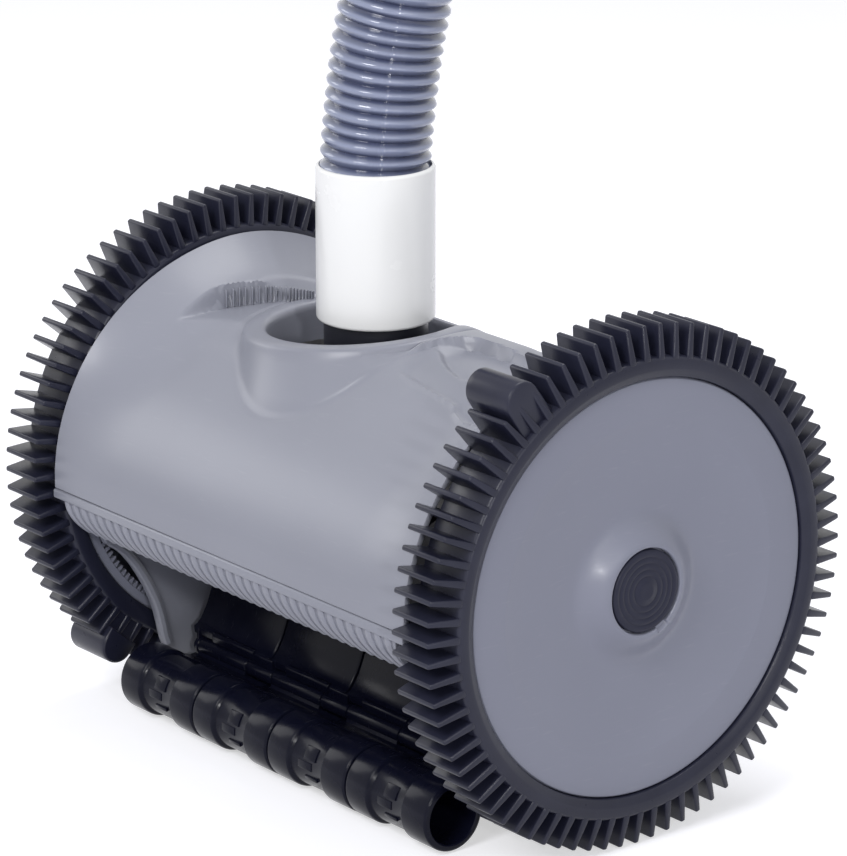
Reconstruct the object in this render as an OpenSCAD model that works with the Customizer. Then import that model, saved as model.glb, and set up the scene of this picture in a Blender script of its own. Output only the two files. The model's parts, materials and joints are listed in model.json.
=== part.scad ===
/* [Wheels] */
// Wall of the wheel rim around its ring gear
rim_wall = 4.2; // [3:0.1:7]
// Thickness of the tyre's band over the rim
band_t = 10; // [8:0.5:14]
// Height of the tyre's fins over its band
fin_h = 13; // [8:0.5:24]
// Width of a tyre along the axle
tyre_w = 27.4; // [22:0.2:33]
// Number of fins around a tyre
fin_count = 80; // [40:4:100]
// Thickness of one fin
fin_t = 2.4; // [1.6:0.1:3]
// How far the drive lug stands out over the fins
lug_rise = 8; // [4:0.5:10]
// Width of the drive lug around the tyre
lug_w = 17; // [12:0.5:20]
// How far the drive lug reaches past the fins towards the body
lug_reach = 6; // [2:0.5:7]
// Angle of the right drive lug above the rear horizontal
lug_angle_right = 124.5; // [90:0.5:150]
// Angle of the left drive lug above the rear horizontal
lug_angle_left = 230; // [200:0.5:250]
// Wall of the wheel disc and rim
wheel_wall = 3; // [2.4:0.1:4]
// Radius of the hub boss
hub_r = 17; // [15:0.5:20]
// Radius of the hub cap
cap_r = 17.7; // [15:0.1:19]

/* [Axles] */
// Radius of a wheel axle
axle_r = 8; // [6:0.5:8.5]
// Wall of the plain bearing between axle and hub
bearing_wall = 3; // [2:0.1:4]
// Radial running clearance of a shaft in its bearing
run_gap = 0.06; // [0.03:0.01:0.1]
// End play between parts that turn and parts that stand
end_gap = 0.3; // [0.2:0.05:0.5]

/* [Body] */
// Length of the body shell across the object
shell_len = 250.8; // [240:0.4:300]
// Radius of the shell crest about the axle
crest_r = 80; // [76:0.5:88]
// How much further than the crest the shell reaches in front and behind
lip_reach = 25; // [20:0.5:28]
// Height of the shell's end flanges over the crest
flange_rise = 16.2; // [10:0.2:20]
// Length of each flared end of the shell
flare_len = 42; // [25:1:50]
// Wall of the shell
shell_wall = 2.6; // [2:0.1:3.5]
// Inner radius of the collar around the hose stem
collar_r = 44.6; // [40:0.2:50]
// Width of the collar's rim
collar_rim = 10.9; // [7:0.1:13]
// How far the collar's rim stays below the crest at its middle
collar_drop = 3; // [-4:0.5:6]
// Place of the collar's axis along the axle
collar_x = -31; // [-40:0.5:0]
// Height above the axle at which the collar's inner wall ends
collar_foot = 56; // [54:0.5:62]
// Thickness of the side plates
plate_t = 4; // [3:0.5:5]
// Height of the bumper's lip
lip_h = 4; // [3:0.2:6]
// Number of ribs along a bumper
rib_count = 36; // [16:1:44]

/* [Vacuum head] */
// Gap between the vacuum head and a side plate
head_gap = 6; // [3:0.5:7.5]
// Wall of the vacuum head
head_wall = 3; // [2.4:0.1:3.5]
// How far the row of skirts ends inside the vacuum head's end
skirt_inset = 2; // [1:0.5:20]
// Number of skirts in a row
skirt_count = 4; // [4:1:4]
// Gap between neighbouring skirts
skirt_gap = 0.8; // [0.5:0.1:1.5]
// Outer radius of a skirt's barrel
barrel_r = 15.5; // [13:0.5:16]
// Wall of a skirt
skirt_wall = 2.4; // [1.8:0.1:3]
// Radius of the skirt hinge pins
hinge_pin_r = 1.6; // [1.2:0.1:2]
// Radius of the skirt hinge knuckles
knuckle_r = 4.2; // [3.6:0.1:4.6]
// Half width of the throat along the axle
throat_half_x = 19; // [15:0.5:22]
// Half width of the throat from front to back
throat_half_y = 17; // [14:0.5:18]

/* [Drive] */
// Module of every gear, the tooth size
gear_module = 1; // [1:0.1:1]
// Teeth of the ring gear inside a wheel
ring_teeth = 168; // [168:1:168]
// Teeth of a drive pinion
pinion_teeth = 14; // [14:1:14]
// Teeth of the gear on the drive shaft
drive_teeth = 26; // [26:1:26]
// Teeth of the large wheel of the reduction gear
reduction_teeth = 40; // [40:1:40]
// Teeth of the small wheel of the reduction gear
reduction_pinion_teeth = 26; // [26:1:26]
// Teeth of the pinion on the turbine shaft
turbine_pinion_teeth = 12; // [12:1:12]
// Thinning of each tooth, which gives the teeth their play
backlash = 0.2; // [0.15:0.01:0.3]
// Radius of the drive shaft
drive_shaft_r = 4; // [3:0.5:4.5]
// Radius of the turbine shaft
turbine_shaft_r = 2.5; // [2:0.25:3]
// Radius of the turbine over its blades
turbine_r = 23; // [20:0.5:23.5]
// Number of turbine blades
blade_count = 8; // [5:1:10]

/* [Hose] */
// Place of the hose stem's axis along the axle
stem_x = -25.5; // [-31:0.5:-20]
// How much slimmer the stem is than the hose
stem_step = 1.5; // [0.5:0.1:2]
// Wall of a hose cuff around the hose
cuff_wall = 1.4; // [1.2:0.1:3]
// Height of the lower cuff's bottom edge above the axle
cuff_bottom = 78.5; // [74:0.5:84]
// Length of the lower cuff
cuff_len = 69; // [60:1:75]
// Outer radius of the hose over its ridges
hose_r = 24.5; // [24:0.1:29.5]
// Wall of the hose
hose_wall = 2; // [1.5:0.1:3]
// Radius of the socket in the upper cuff
socket_r = 19.1; // [17:0.1:19.5]
// Length of the upper cuff
upper_cuff_len = 62; // [50:1:75]

/* [Hidden] */
$fn = 96;

shell_grey = "#969aa6";
wheel_grey = "#85889a";
black = "#24242c";
rubber = "#1d1e26";
steel = "#b9bdc4";
white = "#f0efec";
hose_blue = "#6f7f9c";
brass = "#b89a55";
foam = "#d9d7cf";

// Wheel and tyre radii, from the ring gear outwards: the pitch radius of a
// gear is half its teeth times the module.
function pitch_r(teeth) = teeth * gear_module / 2;
tip_h = 0.9 * gear_module;
root_h = 1.2 * gear_module;
root_r = pitch_r(ring_teeth) + root_h + 0.6;
rim_r = root_r + rim_wall;
tyre_band_r = rim_r + band_t;
tyre_tip_r = tyre_band_r + fin_h;
lug_h = fin_h + lug_rise;

// Heights are measured from the ground, and the axle stands a wheel radius above it.
axle_z = tyre_tip_r;

// Shell radii, from the crest
lip_r = crest_r + lip_reach;
flange_r = crest_r + flange_rise;
collar_top = crest_r - collar_drop;

// Places along the axle, from the body outwards
body_end = shell_len / 2;
tyre_in = body_end + 1.4;
tyre_out = tyre_in + tyre_w;
band_inset = 0.5;
disc_face = tyre_out - 2.2;
rim_in = tyre_in + 1.4;
plate_out = body_end - 2.4;
plate_in = plate_out - plate_t;
head_half = plate_in - head_gap;

// Wheel bearing and fasteners
bush_r = axle_r + bearing_wall;
hub_in = plate_out + 1.6;
axle_end = disc_face - 5.4;
washer_t = 1.5;
screw_head_h = 3;
cap_face = disc_face + 3.8;

// Gears
function polar(r, a) = [r * cos(a), r * sin(a)];
drive_angle = -45.5;
drive_pos = polar(pitch_r(ring_teeth) - pitch_r(pinion_teeth), drive_angle);
turbine_pos = [9, -29];
// The reduction gear sits where its two centre distances meet.
reach_1 = pitch_r(turbine_pinion_teeth) + pitch_r(reduction_teeth);
reach_2 = pitch_r(reduction_pinion_teeth) + pitch_r(drive_teeth);
to_drive = drive_pos - turbine_pos;
span = norm(to_drive);
along = (reach_1 * reach_1 - reach_2 * reach_2 + span * span) / (2 * span);
aside = sqrt(reach_1 * reach_1 - along * along);
way = to_drive / span;
reduction_pos = turbine_pos + along * way + aside * [-way[1], way[0]];
function bearing_of(from, to) = atan2(to[1] - from[1], to[0] - from[0]);

// Turbine housing
chamber_r = turbine_r + 1.5;
housing_wall = 3;
housing_r = chamber_r + housing_wall;
chamber_half = 20;
housing_left = stem_x - chamber_half - housing_wall;
housing_right = stem_x + chamber_half + housing_wall;
housing_top = 6;
duct_r = 17;
boss_half_y = 22;
gear_w = 7;
gear_x1 = housing_right + 1;
gear_x2 = gear_x1 + gear_w + 1.5;
cover_x = gear_x2 + gear_w + 1;
cover_t = 3;
bearing_r = 5;

// Vacuum head, written for its front half: Y is negative in front
deck_top = -70;
deck_bottom = deck_top - head_wall;
hinge_y = 36;
hinge_z = -89.5;
barrel_y = 66;
barrel_z = barrel_r - axle_z + 0.2;
mouth_bottom = -88;
mouth_wall = 3;
flap_z = -80;
flap_len = 18;
flap_y = throat_half_y + mouth_wall + 5;

// Stem, cuffs and swivel
hose_fit = 0.3;
stem_r = hose_r - stem_step;
cuff_r = hose_r + hose_fit + cuff_wall;
neck_out = duct_r + 3;
neck_top = 62;
base_z = 36;
base_t = 4;
race_t = 3.6;
flange_z = base_z + base_t + race_t + end_gap;
flange_t = 4;
flange_out = stem_r + 7;
base_r = flange_out + 6;
retainer_top = flange_z + flange_t + end_gap + 3.5;
stem_top = cuff_bottom + 44;

// Route of the hose, from inside the lower cuff to inside the upper one
hose_route = [
    [-25.5, 0, 237.5], [-25.5, 0, 262], [-24, 2, 290], [-22, 4.5, 315], [-19, 8, 340],
    [-16, 12, 370], [-13, 16, 400], [-10, 20, 430], [-7, 24, 460], [-4, 28, 490],
    [-1, 32, 520], [2, 36, 550]
];
hose_sides = 12;

module at_axle() { translate([0, 0, axle_z]) children(); }
// Extrudes a flat outline, drawn in Y and Z, from x0 to x1.
module along_x(x0, x1) {
    translate([x0, 0, 0]) rotate([90, 0, 90]) linear_extrude(x1 - x0) children();
}
module rod_x(x0, x1, r, pos = [0, 0]) {
    translate([x0, pos[0], pos[1]]) rotate([0, 90, 0]) cylinder(r = r, h = x1 - x0);
}
module tube_x(x0, x1, r_out, r_in, pos = [0, 0]) {
    difference() {
        rod_x(x0, x1, r_out, pos);
        rod_x(x0 - 1, x1 + 1, r_in, pos);
    }
}
module tube_z(z0, z1, r_out, r_in) {
    difference() {
        translate([0, 0, z0]) cylinder(r = r_out, h = z1 - z0);
        translate([0, 0, z0 - 1]) cylinder(r = r_in, h = z1 - z0 + 2);
    }
}
module at_stem() { translate([stem_x, 0, axle_z]) children(); }

// ---- Gear teeth: four points a flank, on the involute of the base circle ----
pressure_angle = 20;
function inv_angle(rb, r) =
    let (t = sqrt(max(r * r / (rb * rb) - 1, 0))) t * 180 / PI - atan(t);
function half_tooth(teeth, r, thin) =
    let (rp = pitch_r(teeth), rb = rp * cos(pressure_angle))
    90 / teeth - thin / rp * 90 / PI + inv_angle(rb, rp) - inv_angle(rb, max(r, rb));
function tooth_radii(teeth, tip, root) =
    let (rp = pitch_r(teeth), rb = rp * cos(pressure_angle), r0 = max(rp - root, rb))
    [rp - root, r0 + 0.001, (r0 + rp) / 2, rp, rp + tip * 0.6, rp + tip];
function gear_points(teeth, tip, root, thin) =
    let (radii = tooth_radii(teeth, tip, root), n = len(radii))
    [for (k = [0 : teeth - 1]) for (j = [0 : 2 * n - 1])
        let (i = j < n ? j : 2 * n - 1 - j,
             side = j < n ? -1 : 1,
             a = 360 * k / teeth + side * half_tooth(teeth, radii[i], thin))
        polar(radii[i], a)];
module gear_outline(teeth, tip = tip_h, root = root_h, thin = backlash / 2) {
    polygon(gear_points(teeth, tip, root, thin));
}
// A toothed wheel about an axle at pos, with a tooth pointing at angle a
module gear(teeth, x0, x1, pos, a, bore) {
    difference() {
        translate([0, pos[0], pos[1]])
            along_x(x0, x1) rotate(a) gear_outline(teeth);
        rod_x(x0 - 1, x1 + 1, bore, pos);
    }
}

// ---- Body shell: one closed skin of rings around the collar's opening ----
function smooth(t) = let (c = min(max(t, 0), 1)) c * c * (3 - 2 * c);
lip_drop = 2.4;
function crest_radius(a) = crest_r + (lip_r - crest_r) * smooth((abs(a - 90) - 38) / 56);
function flange_radius(a) = flange_r + (lip_r - 0.8 - flange_r) * smooth((abs(a - 90) - 10) / 84);
function flare(x) = pow(min(max((abs(x) - body_end + flare_len) / flare_len, 0), 1), 2);
function shell_radius(x, a) =
    crest_radius(a) + (flange_radius(a) - crest_radius(a)) * flare(x);
function shell_point(x, a, inset) =
    let (r = shell_radius(x, a) - inset) [x, r * cos(a), axle_z + r * sin(a)];
// The angle at which the shell lies over a given Y, by three steps towards it
function angle_over(x, y, a, steps = 4) =
    steps == 0 ? a : angle_over(x, y, acos(min(max(y / shell_radius(x, a), -1), 1)), steps - 1);
edge_steps = 22;
end_steps = 14;
a_front = 180 + lip_drop;
a_rear = -lip_drop;
edge_points = concat(
    [for (i = [0 : edge_steps - 1]) [-body_end + shell_len * i / edge_steps, a_front]],
    [for (i = [0 : end_steps - 1]) [body_end, a_front + (a_rear - a_front) * i / end_steps]],
    [for (i = [0 : edge_steps - 1]) [body_end - shell_len * i / edge_steps, a_rear]],
    [for (i = [0 : end_steps - 1]) [-body_end, a_rear + (a_front - a_rear) * i / end_steps]]);
function heading(p) = atan2((90 - p[1]) * crest_r * PI / 180, p[0] - collar_x);
function collar_rise(p) = collar_top + (p[0] - collar_x) * 0.074 + p[1] * 0.047;
collar_out = collar_r + collar_rim;
collar_fillet = 8;
function collar_ring(r, lift, k) =
    let (h = heading(edge_points[k]), p = [collar_x + r * cos(h), r * sin(h)])
    [p[0], p[1], axle_z + collar_rise(p) + lift];
function foot_point(r, inset, k) =
    let (h = heading(edge_points[k]), p = [collar_x + r * cos(h), r * sin(h)])
    shell_point(p[0], angle_over(p[0], p[1], 90), inset);
function spread_point(t, inset, k) =
    let (h = heading(edge_points[k]), r = collar_out + collar_fillet,
         p = [collar_x + r * cos(h), r * sin(h)], a = angle_over(p[0], p[1], 90), e = edge_points[k])
    shell_point(p[0] + (e[0] - p[0]) * t, a + (e[1] - a) * t, inset);
function level_ring(r, z, k) =
    let (h = heading(edge_points[k])) [collar_x + r * cos(h), r * sin(h), axle_z + z];
spreads = [for (i = [1 : 12]) i / 12];
// Lowers the wall's foot where the shell is higher than the collar's rim.
function wall_foot(k) =
    let (p = foot_point(collar_out, 0, k), q = collar_ring(collar_out, -2.5, k))
    [p[0], p[1], min(p[2] + 3, q[2])];
shell_edge_count = len(edge_points);
function loop_of(kind, value, inset) =
    [for (k = [0 : shell_edge_count - 1])
        kind == "level" ? level_ring(value, collar_foot, k)
        : kind == "rim" ? collar_ring(value, inset, k)
        : kind == "wall" ? wall_foot(k)
        : kind == "foot" ? foot_point(value, inset, k)
        : spread_point(value, inset, k)];
shell_loops = concat(
    [loop_of("level", collar_r, 0)],
    [loop_of("rim", collar_r, -2.2), loop_of("rim", collar_r + 1.6, -0.4)],
    [loop_of("rim", collar_out - 3, 0), loop_of("rim", collar_out - 0.8, -0.9)],
    [loop_of("wall", 0, 0)],
    [loop_of("foot", collar_out + collar_fillet * 0.4, 0)],
    [loop_of("foot", collar_out + collar_fillet, 0)],
    [for (t = spreads) loop_of("spread", t, 0)],
    [for (i = [len(spreads) - 1 : -1 : 0]) loop_of("spread", spreads[i], shell_wall)],
    [loop_of("foot", collar_out + collar_fillet, shell_wall)],
    [loop_of("foot", collar_r + shell_wall + 1, shell_wall + 0.5)],
    [loop_of("level", collar_r + shell_wall, 0)]);
// Joins closed loops of points into one skin, the last loop to the first.
function skin_faces(loops, around) =
    [for (i = [0 : loops - 1]) for (k = [0 : around - 1])
        let (j = (i + 1) % loops, m = (k + 1) % around,
             a = i * around + k, b = i * around + m, c = j * around + m, d = j * around + k)
        each [[a, b, c], [a, c, d]]];
module upper_shell() {
    color(shell_grey)
        polyhedron(
            points = [for (loop = shell_loops) for (p = loop) p],
            faces = skin_faces(len(shell_loops), shell_edge_count));
}

// ---- Bumpers: a lip along the shell's edge and a ribbed band tucked under it ----
lip_top = -lip_r * sin(lip_drop) - 0.3;
lip_bottom = lip_top - lip_h;
lip_depth = 8;
band_top_y = lip_r - 1.8;
band_tuck = 6;
band_h = 14.5;
band_wall = 2.5;
rib_h = 1.2;
band_half = plate_in - 0.6;
foot_top = lip_bottom - band_h + band_wall;
foot_bottom = lip_bottom - band_h;
// Each bumper has a boss at either end, screwed on through the side plate's rim.
screw_r = 1.6;
plate_r = shell_radius(plate_in, 90) - shell_wall - 0.9;
end_boss_r = 4;
end_boss_z = foot_top + end_boss_r / 2;
end_boss_y = sqrt(pow(plate_r - screw_r - 1.5, 2) - end_boss_z * end_boss_z);
foot_in = end_boss_y - 3;
function band_curve(inset) =
    [for (i = [0 : 6]) let (t = i / 6) [-(band_top_y - inset - band_tuck * t * t), lip_bottom - band_h * t]];
function reversed(v) = [for (i = [len(v) - 1 : -1 : 0]) v[i]];
module lip_outline() {
    polygon([[-lip_r + 1.2, lip_top], [-lip_r, lip_top - 1.2], [-lip_r, lip_bottom],
        [-lip_r + lip_depth, lip_bottom], [-lip_r + lip_depth, lip_top]]);
}
module band_outline() {
    bend = pow(1 - band_wall / band_h, 2) * band_tuck;
    polygon(concat(band_curve(0), [[-foot_in, foot_bottom], [-foot_in, foot_top],
        [-(band_top_y - band_wall - bend), foot_top]],
        [for (p = reversed(band_curve(band_wall))) if (p[1] > foot_top + 0.5) p]));
}
module rib_outline() { polygon(concat(band_curve(-rib_h * 0.9), reversed(band_curve(0.4)))); }
// Places its children at both ends of the body.
module both_ends() { for (s = [0, 1]) mirror([s, 0, 0]) children(); }
module bumper() {
    rib_pitch = 2 * band_half / rib_count;
    difference() {
        union() {
            along_x(-body_end, body_end) lip_outline();
            along_x(-band_half, band_half) band_outline();
            for (i = [0 : rib_count - 1])
                along_x(-band_half + rib_pitch * (i + 0.25), -band_half + rib_pitch * (i + 0.75))
                    rib_outline();
            both_ends() rod_x(plate_in - 14, plate_in, end_boss_r, [-end_boss_y, end_boss_z]);
        }
        both_ends() rod_x(plate_in - 12, plate_in + 1, screw_r, [-end_boss_y, end_boss_z]);
    }
}
module front_bumper() { color(shell_grey) at_axle() bumper(); }
module rear_bumper() { color(shell_grey) at_axle() rotate(180) bumper(); }
module bumper_screws() {
    color(steel) at_axle() both_ends() for (y = [-end_boss_y, end_boss_y]) {
        rod_x(plate_in - 10, plate_out, screw_r, [y, end_boss_z]);
        rod_x(plate_out, plate_out + 1, 3, [y, end_boss_z]);
    }
}

// ---- Side plates: close the shell's ends, carry the axles and end in legs ----
leg_points = [[-79.5, -34.8], [-71.8, -40.9], [-63.4, -52.6], [-56.5, -66.1], [-52.9, -79],
    [-50.6, -89.5], [-39, -98], [-31, -101.5]];
axle_boss_r = 14;
axle_boss_h = 8;
head_boss_r = 6;
head_boss_at = [[-17, -78.5], [17, -78.5]];
drive_bush_r = 7;
module plate_outline() {
    mirrored = [for (p = reversed(leg_points)) [-p[0], p[1]]];
    circle(r = plate_r);
    polygon(concat(leg_points, mirrored));
}
// A side plate, written for the right end
module side_plate() {
    difference() {
        union() {
            along_x(plate_in, plate_out) plate_outline();
            rod_x(plate_in - axle_boss_h, plate_out, axle_boss_r);
            rod_x(plate_in - 4, plate_out, drive_bush_r + 3, drive_pos);
        }
        rod_x(plate_in - axle_boss_h - 1, plate_out + 1, axle_r);
        rod_x(plate_in - 5, plate_out + 1, drive_bush_r, drive_pos);
        for (p = concat(head_boss_at, [[-end_boss_y, end_boss_z], [end_boss_y, end_boss_z]]))
            rod_x(plate_in - 1, plate_out + 1, screw_r, p);
    }
}
module side_plate_left() { color(shell_grey) at_axle() mirror([1, 0, 0]) side_plate(); }
module side_plate_right() { color(shell_grey) at_axle() side_plate(); }
module float_blocks() {
    float_in = collar_x + collar_out + 24;
    color(foam) at_axle() {
        translate([float_in, -32, 18]) cube([plate_in - float_in, 64, 40]);
        translate([-plate_in, -32, 18]) cube([28, 64, 36]);
    }
}

// ---- Vacuum head: two flared walls with a hinge rail each, a deck and the throat ----
row_half = head_half - skirt_inset;
skirt_pitch = 2 * row_half / skirt_count;
block_half = 5.5;
rail_foot = hinge_z + knuckle_r + 0.8;
rail_h = 3.5;
rail_y = hinge_y + 2;
wall_points = [[-27.5, -64], [-28.6, -66], [-31.5, -73], [-35.5, rail_foot + rail_h + 1]];
rail_points = [[-rail_y, rail_foot + rail_h], [-rail_y, rail_foot], [-rail_y + head_wall + 0.4, rail_foot]];
// The end walls reach down past the hinges, to where the skirts' barrels begin.
end_foot_points = [[-hinge_y + 2, hinge_z - 1], [-hinge_y + 5, hinge_z - 8.5]];
// Moves a point of the wall's outside to its inside.
function inner_of(p) = p + head_wall * [0.94, -0.34];
function flip(v) = [for (p = reversed(v)) [-p[0], p[1]]];
module head_wall_outline() {
    polygon(concat(wall_points, rail_points, reversed([for (p = wall_points) inner_of(p)])));
}
module head_section() {
    head_wall_outline();
    mirror([1, 0]) head_wall_outline();
    translate([-29, deck_bottom]) square([58, head_wall]);
}
module head_end_outline() {
    half = concat(wall_points, rail_points, end_foot_points);
    polygon(concat(half, flip(half)));
}
module hinge_block(x) {
    along_x(max(x - block_half, -row_half), min(x + block_half, row_half)) {
        translate([-hinge_y, hinge_z]) circle(r = knuckle_r);
        translate([-hinge_y - 1, hinge_z]) square([head_wall, rail_foot - hinge_z + 1]);
    }
}
mouth_half_x = throat_half_x + mouth_wall;
mouth_half_y = throat_half_y + mouth_wall;
ear_in = throat_half_x + mouth_wall + 4;
ear_t = 4;
flap_pin_r = 1.2;
flap_knuckle_r = 2.6;
module throat_box(half_x, half_y, z0, z1) {
    translate([stem_x - half_x, -half_y, z0]) cube([2 * half_x, 2 * half_y, z1 - z0]);
}
module vac_head() {
    color(black) at_axle() difference() {
        union() {
            along_x(-head_half, head_half) head_section();
            for (x = [-head_half, head_half - head_wall]) along_x(x, x + head_wall) head_end_outline();
            for (turn = [0, 180]) rotate(turn) for (i = [0 : skirt_count])
                hinge_block(-row_half + i * skirt_pitch);
            throat_box(mouth_half_x, mouth_half_y, mouth_bottom, deck_top);
            for (x = [stem_x - ear_in - ear_t, stem_x + ear_in])
                translate([x, -flap_y - 4, flap_z - 4]) cube([ear_t, 2 * flap_y + 8, deck_bottom - flap_z + 4]);
            both_ends() for (p = head_boss_at) rod_x(head_half - 8, plate_in, head_boss_r, p);
        }
        throat_box(throat_half_x, throat_half_y, mouth_bottom - 1, deck_top + 1);
        for (y = [-hinge_y, hinge_y]) rod_x(-row_half - 2, row_half + 2, hinge_pin_r, [y, hinge_z]);
        for (y = [-flap_y, flap_y])
            rod_x(stem_x - ear_in - ear_t - 1, stem_x + ear_in + ear_t + 1, flap_pin_r, [y, flap_z]);
        both_ends() for (p = head_boss_at) rod_x(plate_in - 12, plate_in + 1, screw_r, p);
    }
}
module head_screws() {
    color(steel) at_axle() both_ends() for (p = head_boss_at) {
        rod_x(plate_in - 10, plate_out, screw_r, p);
        rod_x(plate_out, plate_out + 1, 3, p);
    }
}

// ---- Skirts: a panel on a hinge pin that ends in a hollow barrel ----
pin_half = row_half + 1;
module hinge_pin(y) { color(steel) at_axle() rod_x(-pin_half, pin_half, hinge_pin_r, [y, hinge_z]); }
module front_hinge_pin() { hinge_pin(-hinge_y); }
module rear_hinge_pin() { hinge_pin(hinge_y); }
recess_half = 11.5;
recess_depth = 1.8;
panel_root = hinge_y + knuckle_r + end_gap;
// The panel meets the barrel at this angle of its circle, seen from the right.
panel_foot = 31;
module panel_outline() {
    foot = polar(barrel_r - skirt_wall - 0.3, panel_foot) + [-barrel_y, barrel_z];
    half = skirt_wall / 2;
    polygon([[-panel_root, hinge_z - half], [-panel_root, hinge_z + half],
        [foot[0], foot[1] + half], [foot[0], foot[1] - half]]);
}
module skirt(index) {
    x0 = -row_half + index * skirt_pitch + skirt_gap / 2;
    x1 = x0 + skirt_pitch - skirt_gap;
    middle = (x0 + x1) / 2;
    barrel = [-barrel_y, barrel_z];
    inner_r = barrel_r - skirt_wall;
    k0 = -row_half + index * skirt_pitch + block_half + end_gap;
    k1 = k0 + skirt_pitch - 2 * block_half - 2 * end_gap;
    color(black) at_axle() difference() {
        union() {
            along_x(x0, x1) panel_outline();
            along_x(k0, k1) {
                translate([-hinge_y, hinge_z]) circle(r = knuckle_r);
                translate([-panel_root - 0.5, hinge_z - skirt_wall / 2])
                    square([knuckle_r + end_gap + 0.5, skirt_wall]);
            }
            rod_x(x0, middle - recess_half, barrel_r, barrel);
            rod_x(middle - recess_half, middle + recess_half, barrel_r - recess_depth, barrel);
            rod_x(middle + recess_half, x1, barrel_r, barrel);
        }
        rod_x(x0 - 1, x1 + 1, inner_r - 0.6, barrel);
        rod_x(x0 - 1, x1 + 1, hinge_pin_r + run_gap, [-hinge_y, hinge_z]);
        translate([middle - 6, -barrel_y - barrel_r - 1, barrel_z - 3]) cube([12, 8, 3]);
    }
}
module rear_skirt(index) { translate([0, 0, 0]) rotate(180) skirt(skirt_count - 1 - index); }
module front_skirt_1() { skirt(0); }
module front_skirt_2() { skirt(1); }
module front_skirt_3() { skirt(2); }
module front_skirt_4() { skirt(3); }
module rear_skirt_1() { rear_skirt(0); }
module rear_skirt_2() { rear_skirt(1); }
module rear_skirt_3() { rear_skirt(2); }
module rear_skirt_4() { rear_skirt(3); }

// ---- Throat flaps ----
module throat_flap(y) {
    x0 = stem_x - ear_in + end_gap;
    x1 = stem_x + ear_in - end_gap;
    color(rubber) at_axle() difference() {
        union() {
            rod_x(x0, x1, flap_knuckle_r, [y, flap_z]);
            translate([x0, y - 0.9, flap_z - flap_len]) cube([x1 - x0, 1.8, flap_len]);
        }
        rod_x(x0 - 1, x1 + 1, flap_pin_r + run_gap, [y, flap_z]);
    }
}
module front_throat_flap() { throat_flap(-flap_y); }
module rear_throat_flap() { throat_flap(flap_y); }
module throat_flap_pins() {
    color(steel) at_axle() for (y = [-flap_y, flap_y])
        rod_x(stem_x - ear_in - ear_t, stem_x + ear_in + ear_t, flap_pin_r, [y, flap_z]);
}

// ---- Turbine housing ----
housing_screw_y = (throat_half_y + boss_half_y) / 2;
housing_screw_at = [for (y = [-housing_screw_y, housing_screw_y], z = [housing_top - 4, deck_top + 5]) [y, z]];
post_at = [[-12, -28], [12, -8], [12, -56]];
post_r = 3.5;
arm_r = 8;
module housing_solid(x0, x1) {
    rod_x(x0, x1, housing_r, turbine_pos);
    translate([x0, -boss_half_y, deck_top]) cube([x1 - x0, 2 * boss_half_y, housing_top - deck_top]);
}
module housing_hollow() {
    rod_x(stem_x - chamber_half, stem_x + chamber_half, chamber_r, turbine_pos);
    translate([stem_x, 0, turbine_pos[1]]) cylinder(r = duct_r, h = 60);
    throat_box(throat_half_x, throat_half_y, deck_top - 1, turbine_pos[1]);
    rod_x(housing_left - 5, housing_right + 5, bearing_r, turbine_pos);
    for (p = housing_screw_at) rod_x(housing_left - 1, housing_right - 5, screw_r, p);
}
// A straight bar of even width between two points of the YZ plane
module bar_outline(p, q, half) {
    side = half * [-(q - p)[1], (q - p)[0]] / norm(q - p);
    polygon([p + side, q + side, q - side, p - side]);
    translate(p) circle(r = half);
    translate(q) circle(r = half);
}
module turbine_housing_left() {
    color(black) at_axle() difference() {
        housing_solid(housing_left, stem_x);
        housing_hollow();
    }
}
module turbine_housing_right() {
    color(black) at_axle() difference() {
        union() {
            housing_solid(stem_x, housing_right);
            along_x(housing_right - housing_wall, housing_right) bar_outline(turbine_pos, reduction_pos, arm_r);
        }
        housing_hollow();
        rod_x(housing_right - 4, housing_right + 1, reduction_pin_r, reduction_pos);
    }
}
module housing_screws() {
    color(steel) at_axle() for (p = housing_screw_at) {
        rod_x(housing_left, housing_right - 5, screw_r, p);
        rod_x(housing_left - 2, housing_left, 3, p);
    }
}
reduction_pin_r = 3;
module gear_cover() {
    color(black) at_axle() difference() {
        union() {
            rod_x(cover_x, cover_x + cover_t, 27, turbine_pos);
            along_x(cover_x, cover_x + cover_t) bar_outline(turbine_pos, reduction_pos, 12);
            for (p = post_at) rod_x(housing_right, cover_x + 1, post_r, p);
        }
        rod_x(cover_x - 1, cover_x + cover_t + 1, reduction_pin_r, reduction_pos);
        rod_x(cover_x - 1, cover_x + cover_t + 1, drive_shaft_r + 3, drive_pos);
    }
}
module reduction_pin() {
    color(steel) at_axle() rod_x(housing_right - housing_wall, cover_x + cover_t, reduction_pin_r, reduction_pos);
}

// ---- Turbine and gears ----
hub_turbine_r = 7;
module turbine() {
    blade_half = chamber_half - 2;
    color(white) at_axle() difference() {
        union() {
            rod_x(stem_x - blade_half, stem_x + blade_half, hub_turbine_r, turbine_pos);
            for (i = [0 : blade_count - 1])
                translate([stem_x - blade_half, turbine_pos[0], turbine_pos[1]])
                    rotate([360 * i / blade_count, 0, 0]) translate([0, -1, hub_turbine_r - 1])
                        cube([2 * blade_half, 2, turbine_r - hub_turbine_r + 1]);
        }
        rod_x(stem_x - 30, stem_x + 30, turbine_shaft_r, turbine_pos);
    }
}
module turbine_shaft() {
    color(steel) at_axle() rod_x(housing_left + 0.2, gear_x1 + gear_w, turbine_shaft_r, turbine_pos);
}
module turbine_bearings() {
    color(brass) at_axle() for (x = [housing_left, housing_right - housing_wall])
        tube_x(x, x + housing_wall, bearing_r, turbine_shaft_r + run_gap, turbine_pos);
}
mesh_turbine = bearing_of(turbine_pos, reduction_pos);
mesh_drive = bearing_of(reduction_pos, drive_pos);
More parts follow.
